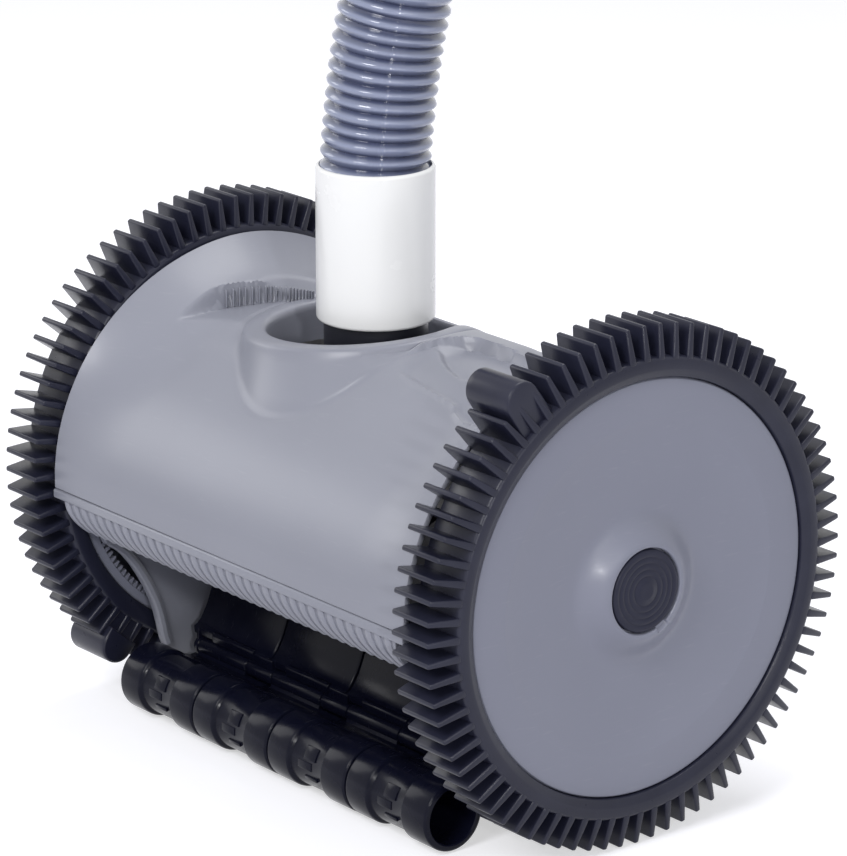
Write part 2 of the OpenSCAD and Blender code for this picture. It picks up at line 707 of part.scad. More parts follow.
module turbine_pinion() {
    color(brass) at_axle()
        gear(turbine_pinion_teeth, gear_x1, gear_x1 + gear_w, turbine_pos, mesh_turbine, turbine_shaft_r);
}
module reduction_gear() {
    half_gap = 180 / reduction_teeth;
    color(white) at_axle() union() {
        gear(reduction_teeth, gear_x1, gear_x1 + gear_w, reduction_pos,
            mesh_turbine + 180 + half_gap, reduction_pin_r + run_gap);
        gear(reduction_pinion_teeth, gear_x1 + gear_w, gear_x2 + gear_w, reduction_pos,
            mesh_drive, reduction_pin_r + run_gap);
    }
}
module drive_gear() {
    half_gap = 180 / drive_teeth;
    color(white) at_axle()
        gear(drive_teeth, gear_x2, gear_x2 + gear_w, drive_pos, mesh_drive + 180 + half_gap, drive_shaft_r);
}
pinion_w = 8;
module drive_shaft() {
    color(steel) at_axle() rod_x(-rim_in - pinion_w - 1, rim_in + pinion_w + 1, drive_shaft_r, drive_pos);
}
module drive_bearings() {
    color(brass) at_axle() for (s = [-1, 1]) mirror([s < 0 ? 1 : 0, 0, 0])
        tube_x(plate_in - 4, plate_out, drive_bush_r, drive_shaft_r + run_gap, drive_pos);
}
module drive_pinion() {
    gear(pinion_teeth, rim_in, rim_in + pinion_w, drive_pos, drive_angle, drive_shaft_r);
}
module drive_pinion_left() { color(brass) at_axle() mirror([1, 0, 0]) drive_pinion(); }
module drive_pinion_right() { color(brass) at_axle() drive_pinion(); }

// ---- Axles, wheels and tyres, written for the right side ----
thread_r = 3;
thread_len = 14;
module axle() {
    difference() {
        rod_x(plate_in - axle_boss_h, axle_end, axle_r);
        rod_x(axle_end - thread_len, axle_end + 1, thread_r);
    }
}
module axle_left() { color(steel) at_axle() mirror([1, 0, 0]) axle(); }
module axle_right() { color(steel) at_axle() axle(); }
module axle_washers() {
    color(steel) at_axle() for (s = [-1, 1]) mirror([s < 0 ? 1 : 0, 0, 0])
        tube_x(axle_end, axle_end + washer_t, bush_r - 0.5, thread_r);
}
module axle_screws() {
    color(steel) at_axle() for (s = [-1, 1]) mirror([s < 0 ? 1 : 0, 0, 0]) {
        rod_x(axle_end - thread_len, axle_end + washer_t, thread_r);
        rod_x(axle_end + washer_t, axle_end + washer_t + screw_head_h, 2 * thread_r);
    }
}
module wheel_bearing() { tube_x(plate_out + end_gap, axle_end - end_gap, bush_r, axle_r + run_gap); }
module wheel_bearing_left() { color(white) at_axle() mirror([1, 0, 0]) wheel_bearing(); }
module wheel_bearing_right() { color(white) at_axle() wheel_bearing(); }
// The ring gear's gaps are the outline of a toothed wheel with deeper tips.
module ring_gear_gaps() {
    half_gap = 180 / ring_teeth;
    rotate(drive_angle) gear_outline(ring_teeth, root_h, tip_h, -backlash / 2);
}
module wheel() {
    disc_in = disc_face - wheel_wall;
    difference() {
        union() {
            tube_x(rim_in, disc_face, rim_r, root_r);
            rod_x(disc_in, disc_face, rim_r - 1);
            rod_x(hub_in, disc_face, hub_r);
            difference() {
                rod_x(rim_in, rim_in + pinion_w + 1, rim_r - 1);
                along_x(rim_in - 1, rim_in + pinion_w + 2) ring_gear_gaps();
            }
        }
        rod_x(hub_in - 1, disc_face + 1, bush_r);
    }
}
module wheel_left() { color(wheel_grey) at_axle() mirror([1, 0, 0]) wheel(); }
module wheel_right() { color(wheel_grey) at_axle() wheel(); }
module hub_cap() {
    difference() {
        union() {
            rod_x(disc_face, cap_face, cap_r);
            rod_x(disc_face - 3.2, disc_face, bush_r);
        }
        rod_x(disc_face - 4, disc_face + 1, bush_r - 1.4);
    }
}
module hub_cap_left() { color(black) at_axle() mirror([1, 0, 0]) hub_cap(); }
module hub_cap_right() { color(black) at_axle() hub_cap(); }
lug_clear_r = norm([lip_r, lip_bottom]) + 1.2;
function turned(p, a) = [p[0] * cos(a) - p[1] * sin(a), p[0] * sin(a) + p[1] * cos(a)];
module tyre_outline() {
    step = 360 / fin_count;
    polygon([for (i = [0 : fin_count - 1])
        each [for (p = [[tyre_band_r, -fin_t / 2], [tyre_tip_r, -fin_t / 2],
                        [tyre_tip_r, fin_t / 2], [tyre_band_r, fin_t / 2]]) turned(p, i * step)]]);
}
module lug_outline(a) {
    rotate(a) {
        translate([tyre_band_r + lug_h - lug_w / 2, 0]) circle(d = lug_w);
        translate([tyre_band_r - 2, -lug_w / 2]) square([lug_h + 2 - lug_w / 2, lug_w]);
    }
}
module tyre(a) {
    difference() {
        union() {
            along_x(tyre_in, tyre_out) tyre_outline();
            along_x(tyre_in + 1, tyre_out - 1) lug_outline(a);
            difference() {
                along_x(tyre_in - lug_reach, tyre_in + 2) lug_outline(a);
                rod_x(tyre_in - lug_reach - 1, tyre_in, lug_clear_r);
            }
        }
        rod_x(tyre_in - 1, tyre_out + 1, rim_r);
    }
}
module tyre_left() { color(rubber) at_axle() mirror([1, 0, 0]) tyre(lug_angle_left); }
module tyre_right() { color(rubber) at_axle() tyre(lug_angle_right); }

// ---- Outlet neck and swivel ----
module outlet_neck() {
    color(black) at_stem() {
        tube_z(housing_top + 1.5, neck_top, neck_out, duct_r);
        tube_z(housing_top + 1.5, housing_top + 4.5, boss_half_y, neck_out - 1);
    }
}
module neck_seal() { color(rubber) at_stem() tube_z(housing_top, housing_top + 1.5, neck_out + 1, duct_r + 0.3); }
module swivel_base() { color(black) at_stem() tube_z(base_z, base_z + base_t, base_r, neck_out); }
module swivel_bearing() {
    color(white) at_stem() tube_z(base_z + base_t, base_z + base_t + race_t, flange_out - 1, neck_out + 3);
}
module swivel_retainer() {
    color(black) at_stem() {
        tube_z(base_z + base_t, retainer_top, base_r, flange_out + 0.6);
        tube_z(flange_z + flange_t + end_gap, retainer_top, base_r - 1, stem_r + 1);
    }
}
module swivel_stem() {
    color(black) at_stem() difference() {
        union() {
            translate([0, 0, flange_z]) cylinder(r = flange_out, h = flange_t);
            translate([0, 0, flange_z]) cylinder(r = stem_r, h = stem_top - flange_z);
        }
        translate([0, 0, flange_z - 1]) cylinder(r = duct_r, h = stem_top - flange_z + 2);
        translate([0, 0, flange_z - 1]) cylinder(r = neck_out + run_gap, h = neck_top + end_gap - flange_z + 1);
    }
}

// ---- Hose and cuffs ----
cuff_shoulder = hose_route[0][2] - axle_z - 0.2;
module hose_cuff() {
    color(white) at_stem() difference() {
        translate([0, 0, cuff_bottom]) cylinder(r = cuff_r, h = cuff_len);
        translate([0, 0, cuff_bottom - 1]) cylinder(r = stem_r, h = cuff_len + 2);
        translate([0, 0, cuff_shoulder]) cylinder(r = hose_r + hose_fit, h = cuff_len);
    }
}
function unit(v) = v / norm(v);
function route_way(i) =
    unit(hose_route[min(i + 1, len(hose_route) - 1)] - hose_route[max(i - 1, 0)]);
function hose_loop(i, r) =
    let (w = route_way(i), u = unit(cross([0, 1, 0], w)), v = cross(w, u))
    [for (k = [0 : hose_sides - 1])
        let (a = 360 * k / hose_sides) hose_route[i] + r * cos(a) * u + r * sin(a) * v];
module leader_hose() {
    last = len(hose_route) - 1;
    loops = concat(
        [for (i = [0 : last]) hose_loop(i, hose_r - hose_wall)],
        [for (i = [last : -1 : 0]) hose_loop(i, hose_r)]);
    color(hose_blue)
        polyhedron(
            points = [for (loop = loops) for (p = loop) p],
            faces = skin_faces(len(loops), hose_sides));
}
module upper_cuff() {
    last = len(hose_route) - 1;
    lean = hose_route[last] - hose_route[last - 1];
    seat = norm(lean) + 0.2;
    color(white) translate(hose_route[last - 1])
        rotate([0, atan2(norm([lean[0], lean[1]]), lean[2]), atan2(lean[1], lean[0])])
            difference() {
                cylinder(r = cuff_r, h = upper_cuff_len);
                translate([0, 0, -1]) cylinder(r = hose_r + hose_fit, h = seat + 1);
                translate([0, 0, 1]) cylinder(r = socket_r, h = upper_cuff_len);
            }
}

upper_shell();
front_bumper();
rear_bumper();
side_plate_left();
side_plate_right();
bumper_screws();
float_blocks();
vac_head();
head_screws();
front_hinge_pin();
rear_hinge_pin();
front_skirt_1();
front_skirt_2();
front_skirt_3();
front_skirt_4();
rear_skirt_1();
rear_skirt_2();
rear_skirt_3();
rear_skirt_4();
front_throat_flap();
rear_throat_flap();
throat_flap_pins();
turbine_housing_left();
turbine_housing_right();
gear_cover();
housing_screws();
turbine();
turbine_shaft();
turbine_bearings();
turbine_pinion();
reduction_gear();
reduction_pin();
drive_gear();
drive_shaft();
drive_bearings();
drive_pinion_left();
drive_pinion_right();
axle_left();
axle_right();
wheel_left();
wheel_right();
tyre_left();
tyre_right();
wheel_bearing_left();
wheel_bearing_right();
axle_washers();
axle_screws();
hub_cap_left();
hub_cap_right();
outlet_neck();
neck_seal();
swivel_base();
swivel_bearing();
swivel_retainer();
swivel_stem();
hose_cuff();
leader_hose();
upper_cuff();
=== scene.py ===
import json
import math

import bmesh
import bpy
from mathutils import Matrix, Vector


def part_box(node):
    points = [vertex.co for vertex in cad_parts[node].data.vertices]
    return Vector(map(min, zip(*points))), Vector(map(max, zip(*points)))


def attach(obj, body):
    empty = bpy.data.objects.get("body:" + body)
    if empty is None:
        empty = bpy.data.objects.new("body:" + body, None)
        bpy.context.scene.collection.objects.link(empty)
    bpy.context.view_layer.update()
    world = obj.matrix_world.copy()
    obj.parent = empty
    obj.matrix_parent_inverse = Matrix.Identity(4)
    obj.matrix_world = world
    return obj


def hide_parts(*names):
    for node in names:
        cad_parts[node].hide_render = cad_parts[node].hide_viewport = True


# The scene is in metres: x runs to the right wheel, y to the back, z up from the ground.
# The pieces' own numbers are millimetres, with z counted from the wheels' axle.
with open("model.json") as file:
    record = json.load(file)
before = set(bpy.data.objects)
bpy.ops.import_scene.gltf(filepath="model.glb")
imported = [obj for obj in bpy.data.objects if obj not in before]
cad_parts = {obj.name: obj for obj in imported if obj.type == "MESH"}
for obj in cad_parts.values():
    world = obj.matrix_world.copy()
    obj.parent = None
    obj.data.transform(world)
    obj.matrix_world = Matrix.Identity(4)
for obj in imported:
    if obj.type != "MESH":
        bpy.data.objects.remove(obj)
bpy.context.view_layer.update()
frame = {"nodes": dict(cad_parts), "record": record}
scene = bpy.context.scene
mm = 0.001
axleHeight = sum(corner.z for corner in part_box("axle_right")) / 2
stemX = sum(corner.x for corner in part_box("swivel_stem")) / 2
print("frame loaded", len(frame["nodes"]), "nodes")


def smooth(t):
    t = min(max(t, 0.0), 1.0)
    return t * t * (3 - 2 * t)


def between(a, b, t):
    return a + (b - a) * t


def pointAt(angle, radius, centre=(0, 0)):  # on a circle, in the plane of its centre
    return centre[0] + radius * math.cos(angle), centre[1] + radius * math.sin(angle)


def turnPoints(points, angle):
    c, s = math.cos(angle), math.sin(angle)
    return [(a * c - b * s, a * s + b * c) for a, b in points]


# Materials
class Wire:  # one output of a node, so that maths on it reads as maths
    def __init__(self, look, socket):
        self.look, self.socket = look, socket

    def maths(self, operation, other, flip=False):
        first, second = (other, self) if flip else (self, other)
        return self.look.node("Math", {"operation": operation}, {0: first, 1: second})

    def __add__(self, other):
        return self.maths("ADD", other)

    __radd__ = __add__

    def __mul__(self, other):
        return self.maths("MULTIPLY", other)

    __rmul__ = __mul__

    def __sub__(self, other):
        return self.maths("SUBTRACT", other)

    def __rsub__(self, other):
        return self.maths("SUBTRACT", other, True)

    def __pow__(self, other):
        return self.maths("POWER", other)


class Look:  # a material, its shader and the nodes that feed it
    def __init__(self, name, **sockets):
        self.material = bpy.data.materials.new(name)
        self.material.use_nodes = True
        self.tree = self.material.node_tree
        self.shader = self.tree.nodes["Principled BSDF"]
        for socket, value in sockets.items():
            self.shader.inputs[socket.replace("_", " ")].default_value = value

    def node(self, kind, settings=None, inputs=None, out=0):
        made = self.tree.nodes.new("ShaderNode" + kind)
        for key, value in (settings or {}).items():
            if key == "stops":
                for stop, (place, shade) in zip(made.color_ramp.elements, value):
                    stop.position, stop.color = place, shade
            else:
                setattr(made, key, value)
        for key, value in (inputs or {}).items():
            self.feed(made.inputs[key], value)
        return Wire(self, made.outputs[out])

    def feed(self, socket, value):
        if isinstance(value, Wire):
            self.tree.links.new(value.socket, socket)
        elif isinstance(value, tuple) and len(value) == 3 and socket.type == "RGBA":
            socket.default_value = (*value, 1)
        else:
            socket.default_value = value

    def place(self):
        return self.node("TexCoord", out=3)

    def stretched(self, scale):
        return self.node("Mapping", {}, {"Vector": self.place(), "Scale": scale})

    def noise(self, scale, detail, rough=0.5, at=None):
        inputs = {"Vector": at or self.place(), "Scale": scale, "Detail": detail, "Roughness": rough}
        return self.node("TexNoise", {}, inputs)

    def ramp(self, value, low, high):  # black up to one value and white from the other
        stops = [(low, (0, 0, 0, 1)), (high, (1, 1, 1, 1))]
        return self.node("ValToRGB", {"stops": stops}, {"Fac": value})

    def blend(self, factor, first, second):
        return self.node("Mix", {"data_type": "RGBA"}, {0: factor, 6: first, 7: second}, out=2)

    def bump(self, height, strength, distance):
        return self.node("Bump", {}, {"Height": height, "Strength": strength, "Distance": distance})

    def set(self, **sockets):
        for socket, value in sockets.items():
            self.feed(self.shader.inputs[socket.replace("_", " ")], value)


def scaled(colour, factor, lift=0.0):
    return tuple(c * factor + lift for c in colour)


def mouldedPlastic(name, colour, tint, roughness, grain=0.0, gloss=0.0, marks=0.5):
    look = Look(name, Specular_IOR_Level=0.36, Coat_Weight=gloss, Coat_Roughness=0.12)
    drift = look.noise(14, 3)  # slow change of shade, as moulded plastic has
    fine = look.noise(900, 2)
    cloud = look.noise(55, 5, 0.6)
    faint = look.ramp(look.noise(90.0, 4.0, at=look.stretched((1, 1, 9))), 0.62, 0.74)  # scuffs
    shade = look.blend(drift, scaled(colour, 0.95), scaled(tint, 1.05))
    shade = look.blend(faint * (0.06 * marks), shade, (0.62, 0.63, 0.66))
    look.set(Base_Color=shade, Roughness=cloud * 0.1 + (roughness - 0.05) + faint * (0.12 * marks))
    look.set(Normal=look.bump(fine * (0.4 + grain) + cloud * 0.6, 0.25 + grain, 0.00006))
    return look.material


def mouldedRubber(name, colour, dusty, roughness):
    look = Look(name, Specular_IOR_Level=0.27)
    drift, grain, pores = look.noise(24, 4, 0.6), look.noise(420, 4, 0.65), look.noise(1500, 2)
    dust = look.ramp(drift, 0.45, 0.8)
    look.set(Base_Color=look.blend(dust * 0.5, colour, dusty))
    look.set(Roughness=grain * 0.16 + dust * 0.1 + (roughness - 0.08))
    look.set(Normal=look.bump(grain * 0.7 + pores * 0.3, 0.35, 0.00009))
    return look.material


def glossyBlack(name, colour, roughness):
    look = Look(name, Specular_IOR_Level=0.12, Coat_Weight=0.02, Coat_Roughness=0.07)
    ripple, mist = look.noise(60, 2), look.noise(220, 5, 0.7)
    hair = look.ramp(look.noise(130.0, 3.0, at=look.stretched((10, 1.5, 1.5))), 0.63, 0.72)  # fine lines
    look.set(Base_Color=look.blend(mist * 0.6, colour, scaled(colour, 1.5, 0.004)))
    look.set(Roughness=mist * 0.12 + hair * 0.1 + roughness)
    look.set(Normal=look.bump(ripple + hair * 0.15, 0.18, 0.0002))
    return look.material


def turnedMetal(name, colour, roughness):
    look = Look(name, Metallic=1.0)
    brushed = look.noise(60.0, 5.0, at=look.stretched((40, 3, 3)))
    stain = look.noise(45, 4)
    look.set(Base_Color=look.blend(stain, scaled(colour, 0.82), colour), Roughness=brushed * 0.25 + roughness)
    look.set(Normal=look.bump(brushed, 0.2, 0.00005))
    return look.material


def cellFoam(name, colour):
    look = Look(name, Roughness=0.9)
    cells = look.node("TexVoronoi", {"feature": "F1"}, {"Vector": look.place(), "Scale": 520.0})
    look.set(Base_Color=look.blend(cells, scaled(colour, 0.8), colour), Normal=look.bump(cells, 0.6, 0.0004))
    return look.material


def hoseVinyl(name):  # pale on the ridges, with painted shade in the valleys
    look = Look(name, Specular_IOR_Level=0.55, Coat_Weight=0.5, Coat_Roughness=0.06, Transmission_Weight=0.12)
    crest = look.node("Attribute", {"attribute_name": "crest"}, out=2)
    cloud, mist = look.noise(38, 3), look.noise(300, 4)
    # the valleys' dark colour is painted shade; the ridges carry the hose's own blue-grey
    valley = look.blend(cloud, (0.035, 0.045, 0.10), (0.06, 0.07, 0.135))
    ridge = look.blend(cloud, (0.25, 0.285, 0.42), (0.32, 0.355, 0.49))
    look.set(Base_Color=look.blend(crest ** 1.3, valley, ridge))
    look.set(Roughness=mist * 0.1 + 0.12, Normal=look.bump(mist, 0.15, 0.0001))
    return look.material


plasticFinishes = {  # colour, second colour, roughness, grain, gloss, marks
    "shell": ("satinShellPlastic", (0.235, 0.242, 0.285), (0.242, 0.249, 0.29), 0.34, 0.15, 0.05),
    "wheel": ("satinWheelPlastic", (0.205, 0.213, 0.268), (0.212, 0.220, 0.273), 0.30, 0.12, 0.05),
    "white": ("glossWhitePlastic", (0.85, 0.85, 0.835), (0.87, 0.87, 0.855), 0.26, 0.05, 0.2, 0.0),
    "gearWhite": ("gearWhitePlastic", (0.70, 0.69, 0.66), (0.74, 0.73, 0.71), 0.42, 0.1),
    "blackPlastic": ("satinBlackPlastic", (0.010, 0.0105, 0.016), (0.015, 0.0155, 0.022), 0.34, 0.3, 0.1, 0.3),
}
looks = {key: mouldedPlastic(*finish) for key, finish in plasticFinishes.items()}
looks |= {
    "gloss": glossyBlack("glossBlackPlastic", (0.003, 0.0035, 0.0105), 0.15),
    "tyre": mouldedRubber("tyreRubber", (0.014, 0.015, 0.029), (0.030, 0.032, 0.054), 0.30),
    "seal": mouldedRubber("sealRubber", (0.018, 0.018, 0.02), (0.035, 0.035, 0.038), 0.55),
    "steel": turnedMetal("brushedSteel", (0.60, 0.61, 0.63), 0.22),
    "brass": turnedMetal("turnedBrass", (0.60, 0.43, 0.18), 0.25),
    "cap": glossyBlack("satinCapPlastic", (0.020, 0.021, 0.036), 0.26),
    "foam": cellFoam("floatFoam", (0.75, 0.73, 0.68)),
    "hose": hoseVinyl("hoseVinyl"),
}
print("materials made", len(looks))


# Helpers that shape the pieces
def atAxle(x, y, z):
    return Vector((x * mm, y * mm, axleHeight + z * mm))


def spun(places, centre, axis, steps, closed=True):  # a profile taken once round a line
    bm = bmesh.new()
    corners = [bm.verts.new(place) for place in places]
    following = corners[1:] + corners[:1] if closed else corners[1:]
    edges = [bm.edges.new(pair) for pair in zip(corners, following)]
    bmesh.ops.spin(bm, geom=corners + edges, cent=centre, axis=axis, dvec=(0, 0, 0), angle=math.tau, steps=steps,
                   use_merge=True, use_duplicate=False)
    return cleaned(bm)


def lathe(profile, steps, centre=(0, 0), closed=True):  # profile of (x, radius) about a line along x
    places = [atAxle(x, centre[0] + radius, centre[1]) for x, radius in profile]
    return spun(places, atAxle(0, *centre), (1, 0, 0), steps, closed)


def latheUp(profile, steps):  # profile of (radius, z) about the swivel's upright line
    places = [atAxle(stemX / mm + radius, 0, z) for radius, z in profile]
    return spun(places, (stemX, 0, 0), (0, 0, 1), steps)


def cleaned(bm):
    bmesh.ops.remove_doubles(bm, verts=bm.verts, dist=1e-6)
    bmesh.ops.dissolve_degenerate(bm, edges=bm.edges, dist=1e-7)
    bmesh.ops.recalc_face_normals(bm, faces=bm.faces)
    return bm


def soften(bm, edges, width, segments=2):
    bmesh.ops.bevel(bm, geom=edges, offset=width * mm, offset_type="OFFSET", affect="EDGES", segments=segments,
                    profile=0.5, material=-1, clamp_overlap=True)


def prism(bm, outline, x0, x1, edge=0.0, segments=2, keepFlat=False):  # an outline of (y, z) drawn out along x
    corners = [bm.verts.new(atAxle(x0, y, z)) for y, z in outline]
    grown = bmesh.ops.extrude_face_region(bm, geom=[bm.faces.new(corners)])["geom"]
    top = [v for v in grown if isinstance(v, bmesh.types.BMVert)]
    bmesh.ops.translate(bm, verts=top, vec=((x1 - x0) * mm, 0, 0))
    bmesh.ops.recalc_face_normals(bm, faces=list({f for v in corners + top for f in v.link_faces}))
    if edge:
        edges = list({e for v in corners + top for e in v.link_edges})
        if keepFlat:  # only where two faces meet at an angle
            edges = [e for e in edges if e.calc_face_angle(0) > math.radians(30)]
        soften(bm, edges, edge, segments)
    return bm


def block(xs, ys, zs, edge=0.0):
    outline = [(ys[0], zs[0]), (ys[1], zs[0]), (ys[1], zs[1]), (ys[0], zs[1])]
    return prism(bmesh.new(), outline, *xs, edge)


def cube(bm, place, sides):
    bmesh.ops.create_cube(bm, size=1, matrix=place @ Matrix.Diagonal((*(side * mm for side in sides), 1)))


def skin(bm, rings):  # faces between rings of the same number of vertices, closed at both ends
    for first, second in zip(rings, rings[1:]):
        for i in range(len(first)):
            n = (i + 1) % len(first)
            bm.faces.new((first[i], first[n], second[n], second[i]))
    bm.faces.new(rings[0])
    bm.faces.new(rings[-1])


def join(bm, other):
    mesh = bpy.data.meshes.new("joined")
    other.to_mesh(mesh)
    bm.from_mesh(mesh)
    other.free()
    bpy.data.meshes.remove(mesh)


def flipSide(bm):  # makes a right piece the left one
    bmesh.ops.scale(bm, vec=(-1, 1, 1), verts=bm.verts)
    bmesh.ops.reverse_faces(bm, faces=bm.faces)
    return bm


def turnRound(bm):  # makes a front piece the rear one
    bmesh.ops.rotate(bm, cent=(0, 0, 0), matrix=Matrix.Rotation(math.pi, 3, "Z"), verts=bm.verts)
    return bm


def finishPiece(bm, name, body, look, replaced, sharp=32):
    mesh = bpy.data.meshes.new(name)
    bm.to_mesh(mesh)
    bm.free()
    mesh.materials.append(looks[look])
    mesh.shade_smooth()
    mesh.set_sharp_from_angle(angle=math.radians(sharp))
    piece = bpy.data.objects.new(name, mesh)
    scene.collection.objects.link(piece)
    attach(piece, body)
    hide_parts(*replaced)
    return piece


# Camera
cameraView = {"place": (1.42988, -1.13796, 0.59224), "tilt": 73.0, "turn": 51.332, "lens": 183.99}
lensData = bpy.data.cameras.new("viewCamera")
lensData.lens, lensData.sensor_width, lensData.clip_end = cameraView["lens"], 36.0, 50.0
camera = bpy.data.objects.new("viewCamera", lensData)
camera.location = Vector(cameraView["place"]) + Vector((0, 0, axleHeight))
camera.rotation_euler = (math.radians(cameraView["tilt"]), 0, math.radians(cameraView["turn"]))
scene.collection.objects.link(camera)
scene.camera = camera
scene.view_settings.view_transform = "Standard"

# Hose and cuffs
hoseShape = {
    "route": [(-25.5, 0, 237.5), (-25.5, 0, 262), (-24, 2, 290), (-22, 4.5, 315), (-19, 8, 340), (-16, 12, 370),
              (-13, 16, 400), (-10, 20, 430), (-7, 24, 460), (-4, 28, 490), (-1, 32, 520), (2, 36, 550)],
    "crest": 24.4, "valley": 21.9, "bore": 19.6, "pitch": 6.1, "perRidge": 8, "around": 56,
}


def smoothRoute(points, step):  # even points on a soft curve through the route's own points
    ends = [points[0] * 2 - points[1], *points, points[-1] * 2 - points[-2]]
    fine = []
    for a, b, c, d in zip(ends, ends[1:], ends[2:], ends[3:]):
        for i in range(40):
            t = i / 40
            bend, twist = 2 * a - 5 * b + 4 * c - d, 3 * b - a - 3 * c + d
            fine.append(0.5 * (2 * b + (c - a) * t + bend * t * t + twist * t ** 3))
    fine.append(points[-1])
    even, run = [fine[0]], 0.0
    for a, b in zip(fine, fine[1:]):
        run += (b - a).length
        if run >= step:
            even.append(b)
            run -= step
    if (even[-1] - fine[-1]).length > step * 0.3:
        even.append(fine[-1])
    return even


def makeHose():
    shape = hoseShape
    points = smoothRoute([Vector(p) * mm for p in shape["route"]], shape["pitch"] / shape["perRidge"] * mm)
    ways = [(points[min(i + 1, len(points) - 1)] - points[max(i - 1, 0)]).normalized() for i in range(len(points))]

    def station(i, radius):
        across = Vector((0, 1, 0)).cross(ways[i]).normalized()
        turn = Matrix((across, ways[i].cross(across), ways[i])).transposed().to_4x4()
        return Matrix.Translation(points[i]) @ turn @ Matrix.Diagonal((radius * mm, radius * mm, 1, 1))

    stations, crests = [], []
    for i in range(len(points)):
        wave = (0.5 - 0.5 * math.cos(math.tau * i / shape["perRidge"])) ** 0.75
        stations.append(station(i, between(shape["valley"], shape["crest"], wave)))
        crests.append(wave)
    for i in list(range(len(points) - 1, -1, -shape["perRidge"])) + [0]:  # back down the bore
        stations.append(station(i, shape["bore"]))
        crests.append(0.0)
    bm = bmesh.new()
    # each vertex's height up its ridge, which the hose material uses as the mask for its painted valley shade
    layer = bm.verts.layers.float.new("crest")
    circle = {"cap_ends": False, "radius": 1, "segments": shape["around"], "matrix": stations[0]}
    first = bmesh.ops.create_circle(bm, **circle)["verts"]
    edges = firstEdges = list({e for v in first for e in v.link_edges})
    for before, after, crest in zip(stations, stations[1:], crests[1:]):
        grown = bmesh.ops.extrude_edge_only(bm, edges=edges)["geom"]
        ring = [v for v in grown if isinstance(v, bmesh.types.BMVert)]
        edges = [e for e in grown if isinstance(e, bmesh.types.BMEdge) and all(v in ring for v in e.verts)]
        bmesh.ops.transform(bm, matrix=after @ before.inverted(), verts=ring)
        for v in ring:
            v[layer] = crest
    bmesh.ops.bridge_loops(bm, edges=edges + firstEdges)
    bmesh.ops.recalc_face_normals(bm, faces=bm.faces)
    hose = finishPiece(bm, "leaderHose", "swivel", "hose", ["leader_hose"], 60)
    length = sum((b - a).length for a, b in zip(points, points[1:]))
    return hose, points, length


hose, hosePoints, hoseLength = makeHose()
cuffShape = {
    "radius": 26.2, "edge": 1.6, "bore": 23.0, "socket": 24.8, "shoulder": 124.3, "low": 78.5, "high": 147.5,
    # radius and height of the upper cuff's outside and its inner lip, from its foot up
    "upper": [(24.8, 0.5), (25.2, 0), (25.4, 0), (26.0, 0.5), (26.2, 1.4), (26.2, 12), (25.6, 13.2), (25.6, 47),
              (26.2, 48.2), (26.2, 60.8), (25.7, 61.7), (25.0, 62), (20.3, 62), (19.5, 61.6), (19.1, 60.8)],
    "upperBore": 19.1, "grips": 24, "gripAt": (25.5, 0, 30), "grip": (1.2, 2.4, 32),
}


def makeLowerCuff():
    s = cuffShape
    e, radius, low, high = s["edge"], s["radius"], s["low"], s["high"]
    profile = [(s["bore"], low + 0.8), (s["bore"] + 0.8, low)]
    profile += [(radius - e + e * math.sin(a), low + e - e * math.cos(a)) for a in (0, 0.4, 0.8, 1.2, 1.57)]
    profile += [(radius, low + 12), (radius, high - 14)]
    profile += [(radius - e + e * math.cos(a), high - e + e * math.sin(a)) for a in (0, 0.4, 0.8, 1.2, 1.5)]
    profile += [(s["socket"] + 0.4, high - 0.1), (s["socket"], high - 0.6)]
    profile += [(s["socket"], s["shoulder"]), (s["bore"], s["shoulder"])]
    return finishPiece(latheUp(profile, 112), "lowerCuff", "swivel", "white", ["hose_cuff"])


def makeUpperCuff():
    s = cuffShape
    foot, end = (Vector(point) for point in hoseShape["route"][-2:])
    seat = (end - foot).length + 0.2  # the hose stops inside, against a shoulder
    profile = s["upper"] + [(s["upperBore"], seat), (s["socket"], seat)]
    bm = spun([(r * mm, 0, z * mm) for r, z in profile], (0, 0, 0), (0, 0, 1), 96)
    grip = bmesh.new()
    for i in range(s["grips"]):
        place = Matrix.Translation(Vector(s["gripAt"]) * mm)
        cube(grip, Matrix.Rotation(math.tau * i / s["grips"], 4, "Z") @ place, s["grip"])
    soften(grip, grip.edges, 0.45)
    join(bm, grip)
    turn = (end - foot).normalized().to_track_quat("Z", "Y").to_matrix().to_4x4()
    bmesh.ops.transform(bm, matrix=Matrix.Translation(foot * mm) @ turn, verts=bm.verts)
    return finishPiece(bm, "upperCuff", "swivel", "white", ["upper_cuff"])


makeLowerCuff()
upperCuff = makeUpperCuff()
[tuple(p) for p in hosePoints[::4] + hosePoints[-1:]]
print("hose made", round(hoseLength, 3), "m long")

# Body shell with its collar, pockets and ridge
shellShape = {
    "end": 125.4, "crest": 80.0, "lip": 105.0, "flange": 96.2, "flare": 42.0, "wall": 2.6, "drop": 2.4,
    "collarX": -31.0, "bore": 44.6, "outer": 55.5, "rim": 77.2, "rimRise": (0.074, 0.047), "foot": 56.0,
    "backSlope": (0.4396, 0.8982),  # sine and cosine of the crest's slope behind the collar
    # heading about the collar in degrees, and the radius of its wall's foot
    "footLine": [(-145, 55.9), (-122, 56.8), (-105, 59.6), (-89, 65.8), (-76, 70.6), (-62, 72.0), (-50, 69.8),
                 (-37, 65.2), (-24, 60.5), (-12, 59.0), (10, 58.0), (60, 56.2)],
    # how far the collar's edge is out from the bore, and down from the rim
    "rimEdge": [(0, 9), (0, 4), (0.15, 2.4), (0.7, 1.1), (1.7, 0.35), (3.0, 0.05), (5.5, 0), (8.0, 0.08),
                (9.2, 0.32), (10.1, 0.85), (10.7, 1.7)],
    "footEdge": [(-0.3, 1.15), (0.3, 0.62), (1.0, 0.28), (1.9, 0.08), (3.0, 0.0)],
    "longSteps": 100, "endSteps": 116, "spreads": 66, "innerSpreads": 14,
}


